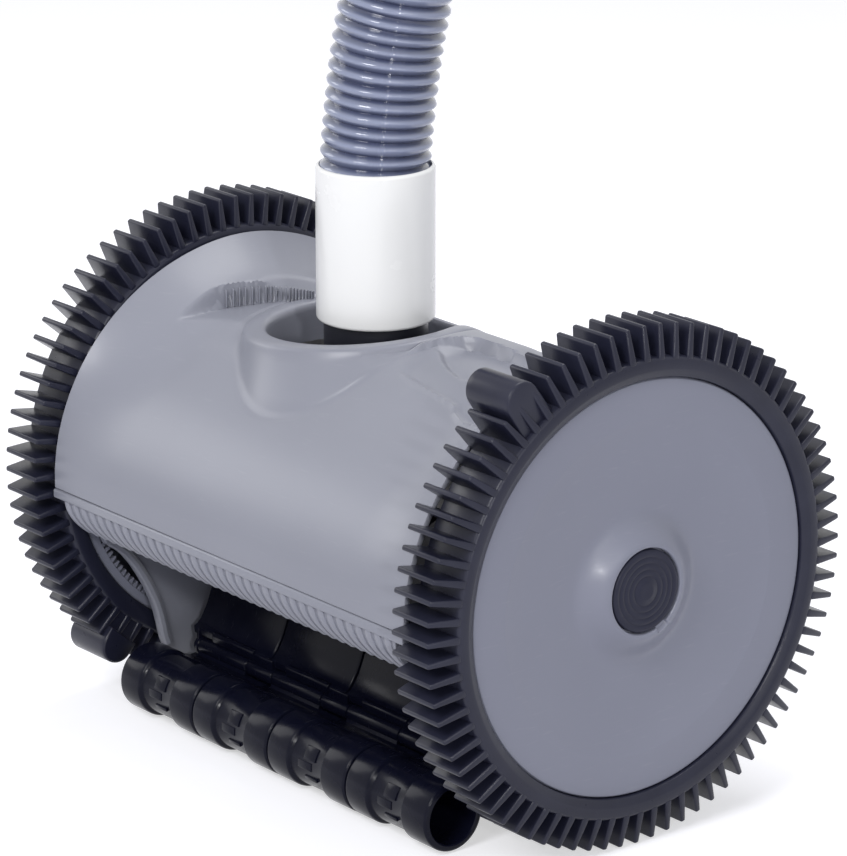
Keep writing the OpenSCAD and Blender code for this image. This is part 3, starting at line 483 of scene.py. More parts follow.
def softLower(a, b, k=4.0):  # the lower of two, rounded where they meet
    h = max(k - abs(a - b), 0.0) / k
    return min(a, b) - h * h * k / 4


def step(distance, width):
    return smooth(distance / width + 0.5)


def follow(points, x):
    for (x0, y0), (x1, y1) in zip(points, points[1:]):
        if x <= x1:
            return between(y0, y1, min(max((x - x0) / (x1 - x0), 0.0), 1.0))
    return points[-1][1]


pockets = {  # lines of (x, y) on the shell, as seen from above
    "rightFront": [(30, -32.5), (37, -33.5), (49, -35), (63, -36.8), (78, -38.8), (83, -42), (92, -45), (101, -47)],
    "ridge": [(22, -30), (26, -22), (28.5, -14), (31, -6), (34.5, 0), (40, 3.4), (48, 4.6), (60, 3.6), (70, 3),
              (110, 4)],
    "crease": [(36, -13), (43, -17.5), (52, -21.5), (60, -23.8), (70, -24), (86, -30), (98, -38)],
    "leftBack": [(-106, -31), (-103, -22.5), (-99.2, -15.4), (-95.9, -8), (-90, 0.5), (-82, 6), (-70, 10)],
    "rightEnd": 99.0, "leftEnd": -105.0, "floor": 0.9, "bowl": 2.4, "bead": 0.7, "ridgeRise": 2.6,
    "ribs": 19, "ribSpan": (-103.6, -80.0), "ribWide": 0.7, "ribDeep": 2.2, "ribDrop": 2.3,
}


def rightPocket(x, y):
    if x < 25 or y < -60 or y > 40:
        return 0.0
    p = pockets
    inside = step(y - follow(p["rightFront"], x), 1.8) * step(p["rightEnd"] - x, 3.0)
    return inside * step(follow(p["ridge"], x) - y, 2.2) * smooth((x - 30) / 9)


def leftPocket(x, y):  # its floor goes on from the collar's rim, and its wall is upright
    if x > -66 or y < -60 or y > 40:
        return 0.0
    return step(x - pockets["leftEnd"], 2.4) * step(follow(pockets["leftBack"], x) - y, 1.8)


def rimPlane(x, y):
    s = shellShape
    return s["rim"] + (x - s["collarX"]) * s["rimRise"][0] + y * s["rimRise"][1]


def rimHeight(x, y):
    s = shellShape
    sine, cosine = s["backSlope"]
    return softLower(rimPlane(x, y), (s["crest"] + 0.3 - sine * y) / cosine)


def shellRadius(x, angle):
    s, p = shellShape, pockets
    lean = abs(math.degrees(angle) - 90)
    crest = s["crest"] + (s["lip"] - s["crest"]) * smooth((lean - 38) / 56) - 0.7 * smooth((lean - 84) / 7)
    flange = s["flange"] + (s["lip"] - 0.8 - s["flange"]) * smooth((lean - 10) / 84)
    flare = min(max((abs(x) - s["end"] + s["flare"]) / s["flare"], 0.0), 1.0) ** 2
    radius = crest + (flange - crest) * flare
    y = radius * math.cos(angle)
    if math.sin(angle) <= 0 or abs(y) >= 66:  # plain towards the bumpers
        return radius
    right, left = rightPocket(x, y), leftPocket(x, y)
    radius += (crest - p["floor"] - radius) * right
    radius -= right * p["bowl"] * step(y - follow(p["crease"], x), 2.6)
    if 30 < x < 104:  # a bead along the right pocket's front
        gap = y - follow(p["rightFront"], x)
        bead = p["bead"] * math.exp(-((gap + 1.2) / 1.1) ** 2)
        radius += bead * smooth((x - 34) / 6) * step(p["rightEnd"] + 3 - x, 4)
    if left:
        radius += (softLower(radius, (rimPlane(x, y) - 0.7) / math.sin(angle), 1.2) - radius) * left
    if x > 18:  # the ridge behind the right pocket
        rise = p["ridgeRise"] * step(y - follow(p["ridge"], x), 2.6) * (1 - smooth((y - 13) / 12))
        radius += rise * (1 - smooth((x - 58) / 26)) * smooth((y + 26) / 12)
    away = math.hypot(x - s["collarX"], y)
    if x < s["collarX"] and away < 90:  # the surface behind the rim comes down to its edge
        edge = rimHeight(x, y) - 1.0 + max(away - 57.5, 0.0) * 1.1
        radius = softLower(radius, edge / math.sin(angle), 1.6)
    return radius


def shellPoint(x, angle, inset):
    radius = shellRadius(x, angle) - inset
    return Vector((x, radius * math.cos(angle), radius * math.sin(angle)))


def angleOver(x, y, angle=math.pi / 2):
    for _ in range(5):
        angle = math.acos(min(max(y / shellRadius(x, angle), -1.0), 1.0))
    return angle


def footRadius(heading):  # the collar's wall leans out in front, and its foot with it
    turn = math.degrees(heading)
    near = [(turn + shift + 180) % 360 - 180 for shift in (-9, -6, -3, 0, 3, 6, 9)]
    return sum(follow(shellShape["footLine"], place) for place in near) / len(near)


def addPocketRibs(bm):  # fine ribs down the left pocket's wall
    s, p = shellShape, pockets
    for k in range(p["ribs"]):
        x = between(*p["ribSpan"], k / (p["ribs"] - 1))
        y = follow(p["leftBack"], x)
        high = math.sqrt(max(s["crest"] ** 2 - (y + 1) ** 2, 0)) + 0.2 + 16 * (max(-x - 83.4, 0) / 42) ** 2
        low = rimPlane(x, y) - 1.4
        lean = math.atan2(follow(p["leftBack"], x + 1) - follow(p["leftBack"], x - 1), 2)
        rib = bmesh.new()
        place = Matrix.Translation(atAxle(x + 0.3, y - 0.3, (low + high - p["ribDrop"]) / 2))
        sides = (p["ribWide"], p["ribDeep"], high - p["ribDrop"] - low)
        cube(rib, place @ Matrix.Rotation(lean, 4, "Z"), sides)
        soften(rib, rib.edges, 0.2, 1)
        join(bm, rib)


def makeShell():
    s = shellShape
    end, wall, longSteps, endSteps = s["end"], s["wall"], s["longSteps"], s["endSteps"]
    low, high = math.radians(-s["drop"]), math.radians(180 + s["drop"])
    edge = [(between(-end, end, i / longSteps), high) for i in range(longSteps)]
    edge += [(end, between(high, low, i / endSteps)) for i in range(endSteps)]
    edge += [(between(end, -end, i / longSteps), low) for i in range(longSteps)]
    edge += [(-end, between(low, high, i / endSteps)) for i in range(endSteps)]
    heads = [math.atan2((math.pi / 2 - a) * s["crest"], x - s["collarX"]) for x, a in edge]

    def around(radius):
        return [pointAt(h, radius, (s["collarX"], 0)) for h in heads]

    def level(radius, z):
        return [Vector((x, y, z)) for x, y in around(radius)]

    def rim(radius, drop):
        return [Vector((x, y, rimHeight(x, y) - drop)) for x, y in around(radius)]

    def footing(out, rise, inset=0.0):  # a line around the wall's foot, on the shell
        ring = []
        for h in heads:
            x, y = pointAt(h, footRadius(h) + out, (s["collarX"], 0))
            on = shellPoint(x, angleOver(x, y), inset)
            spare = rimHeight(x, y) - 3.2 - on.z
            ring.append(Vector((x, y, on.z + rise * min(max(spare / 7.0, -0.3), 1.0))))
        return ring

    def spread(t, inset):  # a line on the way from the wall's foot to the shell's edge
        ring = []
        for h, (ex, ea) in zip(heads, edge):
            x, y = pointAt(h, footRadius(h) + 3.0, (s["collarX"], 0))
            ring.append(shellPoint(between(x, ex, t), between(angleOver(x, y), ea, t), inset))
        return ring

    upper, lower = rim(s["outer"] + 0.2, 3.0), footing(-0.9, 1.9)
    rings = [level(s["bore"], s["foot"])]
    rings += [rim(s["bore"] + out, drop) for out, drop in s["rimEdge"]]
    rings += [[a.lerp(b, t) for a, b in zip(upper, lower)] for t in (0, 0.2, 0.4, 0.6, 0.8, 1.0)]
    rings += [footing(out, rise) for out, rise in s["footEdge"]]
    rings += [spread(i / s["spreads"], 0) for i in range(1, s["spreads"])]
    rings += [spread(0.997, 0.0), spread(1.0, 0.7), spread(1.0, wall - 0.5), spread(0.997, wall)]
    rings += [spread(i / s["innerSpreads"], wall) for i in range(s["innerSpreads"] - 1, 0, -1)]
    inside = [shellPoint(x, angleOver(x, y), wall + 0.5) for x, y in around(s["bore"] + wall + 1.0)]
    rings += [footing(3.0, 0, wall), inside, level(s["bore"] + wall, s["foot"])]

    bm = bmesh.new()
    first = bmesh.ops.create_circle(bm, cap_ends=False, radius=1, segments=len(edge))["verts"]
    for v, place in zip(first, rings[0]):
        v.co = atAxle(*place)
    edges = firstEdges = list({e for v in first for e in v.link_edges})
    last = {v: i for i, v in enumerate(first)}
    for places in rings[1:]:
        grown = bmesh.ops.extrude_edge_only(bm, edges=edges)["geom"]
        following = {}
        for v in grown:
            if isinstance(v, bmesh.types.BMVert):
                following[v] = next(last[e.other_vert(v)] for e in v.link_edges if e.other_vert(v) in last)
                v.co = atAxle(*places[following[v]])
        edges = [e for e in grown if isinstance(e, bmesh.types.BMEdge) and all(v in following for v in e.verts)]
        last = following
    bmesh.ops.bridge_loops(bm, edges=edges + firstEdges)
    bmesh.ops.recalc_face_normals(bm, faces=bm.faces)
    addPocketRibs(bm)
    return finishPiece(bm, "upperShell", "chassis", "shell", ["upper_shell"], 40)


makeShell()
print("shell made")

# Wheels, caps and tyres: shaped for the right side and mirrored for the left
wheelShape = {
    "rim": 90.0, "root": 85.8, "face": 151.7, "back": 148.8, "inner": 128.2, "hub": 17.0, "hubIn": 124.6,
    "bush": 11.0, "dish": 4.0, "teeth": 168, "toothDeep": 2.2, "toothEnd": 137.2, "driveRadius": 77,
    # out from the face, and radius
    "faceLine": [(0.02, 84), (-0.05, 73.4), (-0.2, 72.3), (-0.42, 71.6), (-1.7, 60), (-3.0, 48)],
    # out from the dish, and radius: up the mound, and the ring round the cap
    "mound": [(0.05, 38.0), (0, 35.0), (0.1, 33.2), (0.5, 31.6), (1.3, 29.9), (2.6, 27.9), (4.1, 25.9), (5.5, 24.0),
              (6.6, 22.3), (7.25, 21.0), (7.55, 20.1), (7.6, 19.5), (7.45, 18.95), (7.0, 18.6), (6.2, 18.45)],
    "notchAt": -62, "notchHalf": 9.5, "notchFloor": 1.9, "notchFrom": 18.3, "notchTo": 21.3,
}
driveAngle = math.radians(-45.5)


def makeWheel(side):
    w = wheelShape
    face, back, inner, rim, root, hub = (w[key] for key in ("face", "back", "inner", "rim", "root", "hub"))
    dish, dishBack = face - w["dish"], back - w["dish"]
    profile = [(w["hubIn"], w["bush"]), (w["hubIn"], hub - 0.6), (w["hubIn"] + 0.6, hub)]
    profile += [(dishBack - 3, hub), (dishBack - 1.2, hub + 0.9), (dishBack, hub + 3), (dishBack, 37)]
    profile += [(back - 0.3, 71), (back, 78), (back, root - 2.6), (back - 0.9, root - 0.8), (back - 2.6, root)]
    profile += [(inner + 0.4, root), (inner, root + 0.4), (inner, rim - 0.5), (inner + 0.5, rim)]
    profile += [(face - 1.7, rim - 0.05), (face - 0.8, rim - 0.3), (face - 0.25, rim - 0.8), (face, rim - 1.7)]
    profile += [(face + out, radius) for out, radius in w["faceLine"]]
    profile += [(dish + out, radius) for out, radius in w["mound"]]
    profile += [(face + 0.5, 18.3), (face + 0.5, w["bush"])]
    bm = lathe(profile, 192)
    for v in bm.verts:  # a pry notch in the ring round the cap
        x, y, z = v.co.x / mm, v.co.y / mm, (v.co.z - axleHeight) / mm
        r, a = math.hypot(y, z), math.degrees(math.atan2(z, y))
        if x > face + 2.0 and w["notchFrom"] < r < w["notchTo"]:
            dip = smooth((w["notchHalf"] - abs(a - w["notchAt"])) / 2.5)
            v.co.x -= dip * (x - face - w["notchFloor"]) * mm * (1 - smooth((r - 19.4) / 2.0))
    foot, tip = root + 0.3, root - w["toothDeep"] - 0.6
    flank = [(foot, 1.08), (tip + 1.1, 0.72), (tip, 0.42)]
    outline = flank + [(r, -half) for r, half in flank[::-1]]
    teeth = bmesh.new()
    for i in range(w["teeth"]):
        turn = math.tau * (i + 0.5) / w["teeth"] + driveAngle
        prism(teeth, turnPoints(outline, turn), inner + 0.3, w["toothEnd"])
    join(bm, teeth)
    if side == "left":
        flipSide(bm)
    return finishPiece(bm, side + "Wheel", side + "_wheel", "wheel", ["wheel_" + side], 28)


capShape = {"seat": 0.5, "plug": 9.6, "thick": 2.95, "rings": (14.6, 11.9, 9.2, 6.4)}


def makeCap(side):
    seat = wheelShape["face"] + capShape["seat"]
    top, plug = seat + capShape["thick"], capShape["plug"]
    profile = [(seat - 3.4, 0.0), (seat - 3.4, plug), (seat + 0.02, plug), (seat + 0.02, 17.9)]
    profile += [(seat + 1.9, 17.9), (seat + 2.45, 17.6), (top - 0.1, 17.0), (top, 16.2)]
    for r in capShape["rings"]:  # moulded rings
        profile += [(top, r + 0.55), (top - 0.22, r + 0.28), (top - 0.3, r), (top - 0.22, r - 0.28), (top, r - 0.55)]
    profile += [(top + 0.02, 4.4), (top + 0.28, 4.0), (top + 0.34, 3.2), (top + 0.3, 1.6), (top + 0.26, 0.0)]
    bm = lathe(profile, 112, closed=False)
    if side == "left":
        flipSide(bm)
    return finishPiece(bm, side + "Cap", side + "_wheel", "cap", ["hub_cap_" + side], 40)


tyreShape = {
    "in": 126.8, "out": 154.2, "bore": 90.05, "band": 99.3, "tip": 113.0, "fins": 80, "foot": 1.75, "top": 1.15,
    "lug": {"right": 124.5, "left": 230.0}, "lugAt": 112.4, "lugHalf": 8.4, "lugFoot": 97.5, "lugStep": 107.2,
}


def addFins(bm):
    t = tyreShape
    near, far, band = t["in"], t["out"], t["band"]
    slope = [(band - 1.5, near + 0.3, far - 0.05), (band + 1.0, near + 0.3, far - 0.25),
             (t["tip"], near + 1.2, far - 2.7)]
    one = bmesh.new()
    rings = []
    for r, x0, x1 in slope:
        half = between(t["foot"], t["top"], (r - band) / (t["tip"] - band))
        corners = ((x0, -half), (x1, -half), (x1, half), (x0, half))
        rings.append([one.verts.new((x * mm, r * mm, across * mm)) for x, across in corners])
    skin(one, rings)
    bmesh.ops.recalc_face_normals(one, faces=one.faces)
    soften(one, [e for e in one.edges if e.calc_face_angle(0) > 0.6], 0.8, 3)
    finMesh = bpy.data.meshes.new("fin")
    one.to_mesh(finMesh)
    one.free()
    fins = bmesh.new()
    for i in range(t["fins"]):
        before = len(fins.verts)
        fins.from_mesh(finMesh)
        fins.verts.ensure_lookup_table()
        turn = Matrix.Translation((0, 0, axleHeight)) @ Matrix.Rotation(math.tau * i / t["fins"], 4, "X")
        bmesh.ops.transform(fins, matrix=turn, verts=fins.verts[before:])
    bpy.data.meshes.remove(finMesh)
    join(bm, fins)


def endEdges(bm, places, sharp):  # sharp edges that lie in planes across x
    sides = [e for e in bm.edges if e.calc_face_angle(0) > sharp]
    return [e for e in sides if any(all(abs(v.co.x / mm - x) < 0.01 for v in e.verts) for x in places)]


def addLug(bm, turn):  # a round-topped block among the fins that stands out towards the shell
    t = tyreShape
    half, near, far = t["lugHalf"], t["in"], t["out"]
    curve = [pointAt(math.pi / 2 - math.pi * k / 22, half, (t["lugAt"], 0)) for k in range(22, -1, -1)]
    whole = [(t["lugFoot"], -half - 0.6), *curve, (t["lugFoot"], half + 0.6)]
    upper = [(t["lugStep"], -half), *curve, (t["lugStep"], half)]
    lug = bmesh.new()
    prism(lug, turnPoints(whole, turn), near + 1.0, far - 2.6)
    prism(lug, turnPoints(upper, turn), near - 2.5, near + 1.0)
    bmesh.ops.recalc_face_normals(lug, faces=lug.faces)
    soften(lug, endEdges(lug, (far - 2.6, near - 2.5), 1.2), 1.1, 3)
    join(bm, lug)


def makeTyre(side):
    t = tyreShape
    near, far, bore, band = t["in"], t["out"], t["bore"], t["band"]
    profile = [(128.4, bore), (127.4, bore + 0.5), (near, bore + 1.5)]
    profile += [(near, band - 2), (near + 0.5, band - 0.8), (near + 1.5, band), (140, band + 0.1)]
    profile += [(far - 1.5, band), (far - 0.45, band - 0.6), (far, band - 1.7), (far, 94.2)]
    profile += [(far - 0.1, 93.7), (far - 0.35, 93.2), (152.95, 90.85), (152.6, 90.45), (151.9, bore + 0.15)]
    bm = lathe(profile, 240)
    addFins(bm)
    addLug(bm, math.radians(t["lug"][side]))
    if side == "left":
        flipSide(bm)
    return finishPiece(bm, side + "Tyre", side + "_wheel", "tyre", ["tyre_" + side], 42)


for sideName in ("right", "left"):
    makeWheel(sideName)
    makeCap(sideName)
    makeTyre(sideName)
print("wheels made")

# Bumpers: a lip with a ribbed band tucked under it
bumperShape = {
    "lip": 105.0, "top": -4.5, "low": -8.7, "depth": 8.0, "long": 125.4, "band": 118.4, "bandTop": 103.2,
    "tuck": 9.5, "high": 15.6, "wall": 2.4, "foot": 79.9, "bossY": 82.92, "bossZ": -18.7, "bevel": 0.7,
    "ribs": 37, "ribWide": 0.36, "ribLean": 3.4, "ribEnd": 0.82, "rise": 1.25,
    "ribRound": [(-1, -0.4), (-0.86, 0.55), (-0.45, 1.05), (0, 1.2), (0.45, 1.05), (0.86, 0.55), (1, -0.4)],
}


def bandPoint(t, out=0.0):
    b = bumperShape
    return -(b["bandTop"] - b["tuck"] * t ** 2.1) - out, b["low"] - b["high"] * t


def addBandRib(bm, x, wide):
    b = bumperShape
    rings = []
    for k in range(9):
        lean = b["ribLean"] * (k / 8 - 0.5)
        taper = 1.0 if 0 < k < 8 else b["ribEnd"]
        ring = []
        for across, out in b["ribRound"]:
            y, z = bandPoint(k / 8, out * b["rise"] / 1.2)
            place = x + lean + across * wide * taper
            ring.append(bm.verts.new(atAxle(min(max(place, -b["band"] + 0.1), b["band"] - 0.1), y, z)))
        rings.append(ring)
    skin(bm, rings)


def makeBumper(end):
    b = bumperShape
    edge, low, inside, c = -b["lip"], b["low"], -b["lip"] + b["depth"], b["bevel"]
    bm = bmesh.new()
    lip = [(edge + c, b["top"]), (edge, b["top"] - c), (edge, low + c * 0.6), (edge + c * 0.6, low)]
    prism(bm, lip + [(inside, low), (inside, b["top"])], -b["long"], b["long"], 0.45, 2, True)
    rows = [bandPoint(i / 10) for i in range(11)]
    endY, endZ = rows[-1]
    shelf = endZ + b["wall"]
    inner = [(y + b["wall"], z) for y, z in rows[:-1] if z > shelf + 0.6]
    outline = rows + [(-b["foot"], endZ), (-b["foot"], shelf), (endY + b["wall"] + 1.5, shelf)] + inner[::-1]
    prism(bm, outline, -b["band"], b["band"])
    pitch = 2 * b["band"] / b["ribs"]
    for i in range(b["ribs"]):
        addBandRib(bm, -b["band"] + pitch * (i + 0.5), pitch * b["ribWide"])
    bmesh.ops.remove_doubles(bm, verts=bm.verts, dist=1e-7)
    bmesh.ops.recalc_face_normals(bm, faces=bm.faces)
    bossLine = [(105, 1.65), (105, 3.6), (105.4, 4), (119, 4), (119, 1.65)]
    for sign in (-1, 1):
        boss = lathe(bossLine, 32, (-b["bossY"], b["bossZ"]))
        join(bm, flipSide(boss) if sign < 0 else boss)
    if end == "rear":
        turnRound(bm)
    return finishPiece(bm, end + "Bumper", "chassis", "shell", [end + "_bumper"], 38)


# Side plates
plateShape = {
    "in": 119.0, "out": 123.0, "radius": 88.1, "cut": 22.7, "boss": 14.0, "bossIn": 111.0, "axle": 8.0,
    "leg": [(-81.3, -34.0), (-76.5, -37.2), (-71.8, -41.4), (-67.3, -47.0), (-63.3, -53.2), (-59.7, -59.6),
            (-56.6, -66.2), (-54.4, -72.6), (-52.8, -79.0), (-51.6, -84.6), (-50.2, -88.8), (-47.4, -91.8),
            (-43.4, -94.8), (-39.2, -98.0), (-35.2, -100.6), (-31.0, -101.5)],
    "bead": 2.2, "beadIn": 1.8, "beadSides": 8, "ribs": 6,
}


def legBeads(front):  # a bead down the inside of each leg's edge
    p = plateShape
    beads = bmesh.new()
    for sign in (1, -1):
        rings = []
        for k, (y, z) in enumerate(front):
            (y0, z0), (y1, z1) = front[max(k - 1, 0)], front[min(k + 1, len(front) - 1)]
            way = Vector((y1 - y0, z1 - z0)).normalized()
            side = Vector((-way.y, way.x))
            ring = []
            for turn in range(p["beadSides"]):
                angle = math.tau * turn / p["beadSides"]
                off = side * (p["bead"] * math.cos(angle) + p["beadIn"])
                x = p["in"] - 0.3 + p["beadIn"] * math.sin(angle)
                ring.append(beads.verts.new(atAxle(x, sign * (y + off.x), z + off.y)))
            rings.append(ring)
        skin(beads, rings)
    bmesh.ops.recalc_face_normals(beads, faces=beads.faces)
    return beads


def makeSidePlate(side):
    p = plateShape
    near, far, leg = p["in"], p["out"], p["leg"]
    begin, end = math.radians(180 + p["cut"]), math.radians(-p["cut"])
    circle = [pointAt(begin + (end - begin) * k / 90, p["radius"]) for k in range(91)]
    outline = circle + [(-y, z) for y, z in leg[1:]] + leg[:0:-1]
    bm = prism(bmesh.new(), outline, near, far, 0.5, 2, True)
    join(bm, legBeads([circle[0]] + leg[1:11]))
    hole, boss = p["axle"] + 0.03, p["boss"]
    profile = [(p["bossIn"], hole), (p["bossIn"], boss - 0.6), (p["bossIn"] + 0.6, boss), (near - 2, boss)]
    profile += [(near + 0.5, boss + 2.4), (far + 0.4, boss + 2.4), (far + 0.4, hole)]
    join(bm, lathe(profile, 72))
    profile = [(near - 4, 7.0), (near - 4, 9.6), (near - 3.6, 10), (far, 10), (far, 7.0)]  # drive shaft's seat
    join(bm, lathe(profile, 48, pointAt(driveAngle, wheelShape["driveRadius"])))
    for k in range(p["ribs"]):  # stiffening ribs on the inner face
        a = math.radians(30 + 24 * k)
        n = Vector((math.cos(a), math.sin(a)))
        s = Vector((-n.y, n.x)) * 1.2
        outline = [tuple(n * 15 - s), tuple(n * 82 - s), tuple(n * 82 + s), tuple(n * 15 + s)]
        join(bm, prism(bmesh.new(), outline, near - 2.2, near + 0.5, 0.3))
    if side == "left":
        flipSide(bm)
    return finishPiece(bm, side + "SidePlate", "chassis", "shell", ["side_plate_" + side], 32)


for endName in ("front", "rear"):
    makeBumper(endName)
for sideName in ("right", "left"):
    makeSidePlate(sideName)
print("body made")

# Vacuum head: its front wall, and the same turned round for the back
headShape = {
    "half": 113.0, "row": 111.0, "pitch": 55.5, "seam": 0.5, "hingeY": 36.0, "hingeZ": -89.5, "knuckle": 4.2,
    "pin": 1.6, "blockLeft": 15.6, "blockRight": 3.2, "railStart": 13.5, "railLong": 31.0,
    "deckTop": -70.0, "deckSide": 28.4, "deckDeep": 3, "throatX": 22.0, "throatY": 20.0, "throatLow": -88,
    "ribs": (-90, -72, 20, 40, 60, 80),
    # outlines of (y, z): the wall's face, its ledge and its back, then what is fixed to it
    "outer": [(-27.5, -64.0), (-28.5, -66.4), (-29.6, -69.4), (-31.0, -72.6), (-32.8, -75.8), (-34.8, -78.6),
              (-36.2, -80.0)],
    "ledge": [(-37.2, -80.3), (-37.9, -80.9), (-38.0, -81.8), (-37.6, -84.0), (-37.0, -84.5), (-34.6, -84.5)],
    "inner": [(-33.2, -81.6), (-31.0, -78.2), (-28.9, -74.6), (-27.4, -71.2), (-26.2, -68.0), (-24.7, -64.0)],
    "block": [(-38.4, -80.9), (-38.7, -82.0), (-38.5, -87.0), (-36.0, -89.0), (-33.4, -89.0), (-34.4, -81.4)],
    "rail": [(-37.3, -79.7), (-38.9, -80.2), (-39.3, -81.2), (-39.0, -84.6), (-36.0, -85.0), (-35.4, -80.6)],
    "endFoot": [(-33.8, -86.0), (-33.4, -91.0), (-32.4, -95.8), (-30.6, -98.0)],
    # screw boss: x and radius
    "boss": [(105, 1.7), (105, 5.4), (105.6, 6), (118.6, 6), (119, 5.6), (119, 1.7)],
}


def hingeTube(x0, x1, bore):
    h = headShape
    k = h["knuckle"]
    begin = [(x0, bore), (x0, k - 0.9), (x0 + 0.12, k - 0.5), (x0 + 0.4, k - 0.15), (x0 + 0.9, k)]
    end = [(x1 - 0.9, k), (x1 - 0.4, k - 0.15), (x1 - 0.12, k - 0.5), (x1, k - 0.9), (x1, bore)]
    return lathe(begin + end, 40, (-h["hingeY"], h["hingeZ"]))


def headWall():
    h = headShape
    gap = h["seam"]
    seams = [-h["half"] - gap, -h["pitch"], 0.0, h["pitch"], h["half"] + gap]
    wall = bmesh.new()
    for a, b in zip(seams, seams[1:]):  # panels, apart by the seams that run down the wall
        prism(wall, h["outer"] + h["ledge"] + h["inner"], a + gap, b - gap)
    bmesh.ops.recalc_face_normals(wall, faces=wall.faces)
    soften(wall, endEdges(wall, [x + side for x in seams[1:-1] for side in (-gap, gap)], 1.0), 1.1, 4)
    for i in range(5):
        x = -h["row"] + i * h["pitch"]
        x0, x1 = max(x - h["blockLeft"], -h["row"]), min(x + h["blockRight"], h["row"])
        join(wall, hingeTube(x0, x1, h["pin"]))
        join(wall, prism(bmesh.new(), h["block"], x0 + 0.6, x1 - 0.7, 0.7, 3))
    for i in range(4):
        x = -h["row"] + i * h["pitch"] + h["railStart"]
        join(wall, prism(bmesh.new(), h["rail"], x, x + h["railLong"], 0.55, 3))
    return wall


def makeHead():
    h = headShape
    bm = bmesh.new()
    join(bm, headWall())
    join(bm, turnRound(headWall()))
    # deck round the opening of the throat
    half, side, top = h["half"], h["deckSide"], h["deckTop"]
    x0, x1, y0 = stemX / mm - h["throatX"], stemX / mm + h["throatX"], h["throatY"]
    for xs, ys in (((-half, x0 + 0.5), (-side, side)), ((x1 - 0.5, half), (-side, side)),
                   ((x0, x1), (-side, -y0 + 0.5)), ((x0, x1), (y0 - 0.5, side))):
        join(bm, block(xs, ys, (top - h["deckDeep"], top)))
    # walls of the throat, and an ear on each side of it
    for xs, ys in (((x0, x0 + 3), (-y0, y0)), ((x1 - 3, x1), (-y0, y0)),
                   ((x0, x1), (-y0, -y0 + 3)), ((x0, x1), (y0 - 3, y0))):
        join(bm, block(xs, ys, (h["throatLow"], top), 0.5))
    for ear in (x0 - 8, x1 + 4):
        join(bm, block((ear, ear + 4), (-29, 29), (-84, top - 2.5), 0.8))
    # end walls with their screw bosses, and ribs under the deck
    front = h["outer"] + h["ledge"][:-1] + h["endFoot"]
    outline = [(y + 0.2, z) for y, z in front] + [(-y - 0.2, z) for y, z in front[::-1]]
    for sign in (-1, 1):
        wall = prism(bmesh.new(), outline, half - 3, half, 0.4, 2, True)
        for y in (-17, 17):
            join(wall, lathe(h["boss"], 40, (y, -78.5)))
        join(bm, flipSide(wall) if sign < 0 else wall)
    for x in h["ribs"]:
        join(bm, block((x, x + 2), (-29, 29), (-78, top - 2.5), 0.4))
    return finishPiece(bm, "vacHead", "chassis", "gloss", ["vac_head"], 30)


# Skirts: a panel on its hinge that ends in a hollow drum
skirtShape = {
    "row": 111.0, "pitch": 55.5, "gap": 0.8, "drumY": -66.0, "drumZ": -97.3, "drum": 15.5, "bore": 12.5,
    "recess": 11.0, "deep": 1.8, "pin": 1.66, "edge": 1.4,
    # along and down at the drum's rounded ends, as parts of the edge
    "edgeLine": [(0, 1), (0.07, 0.66), (0.28, 0.3), (0.6, 0.08), (1, 0)],
    # what stands in the recess: first and last angle, shift along the drum, width, lift
    "tabs": [(-6, 10, -1.6, 9.4, 0.3), (-24, -17, 2.2, 8.4, 0.6), (14, 40, 1.4, 8.0, 0.4)],
    # the panel runs from under the hinge up to the drum, which it meets in a soft curve
    "above": [(-39.4, -92.6), (-42.4, -92.9), (-46.2, -91.5), (-50.0, -89.4), (-53.2, -87.5), (-56.2, -85.9),
              (-58.8, -84.7)],
    "below": [(-57.6, -88.2), (-54.6, -90.6), (-51.0, -92.2), (-46.4, -94.2), (-41.8, -95.6)],
    # rootOut and rootIn size the lip round the hinge, partly real and partly a dark filler standing in for the shade
    # under the head
    "rootOut": 5.9, "rootIn": 4.65, "web": [(-39.6, -90.6), (-40.6, -93.2), (-38.0, -94.9), (-34.4, -92.4)],
}


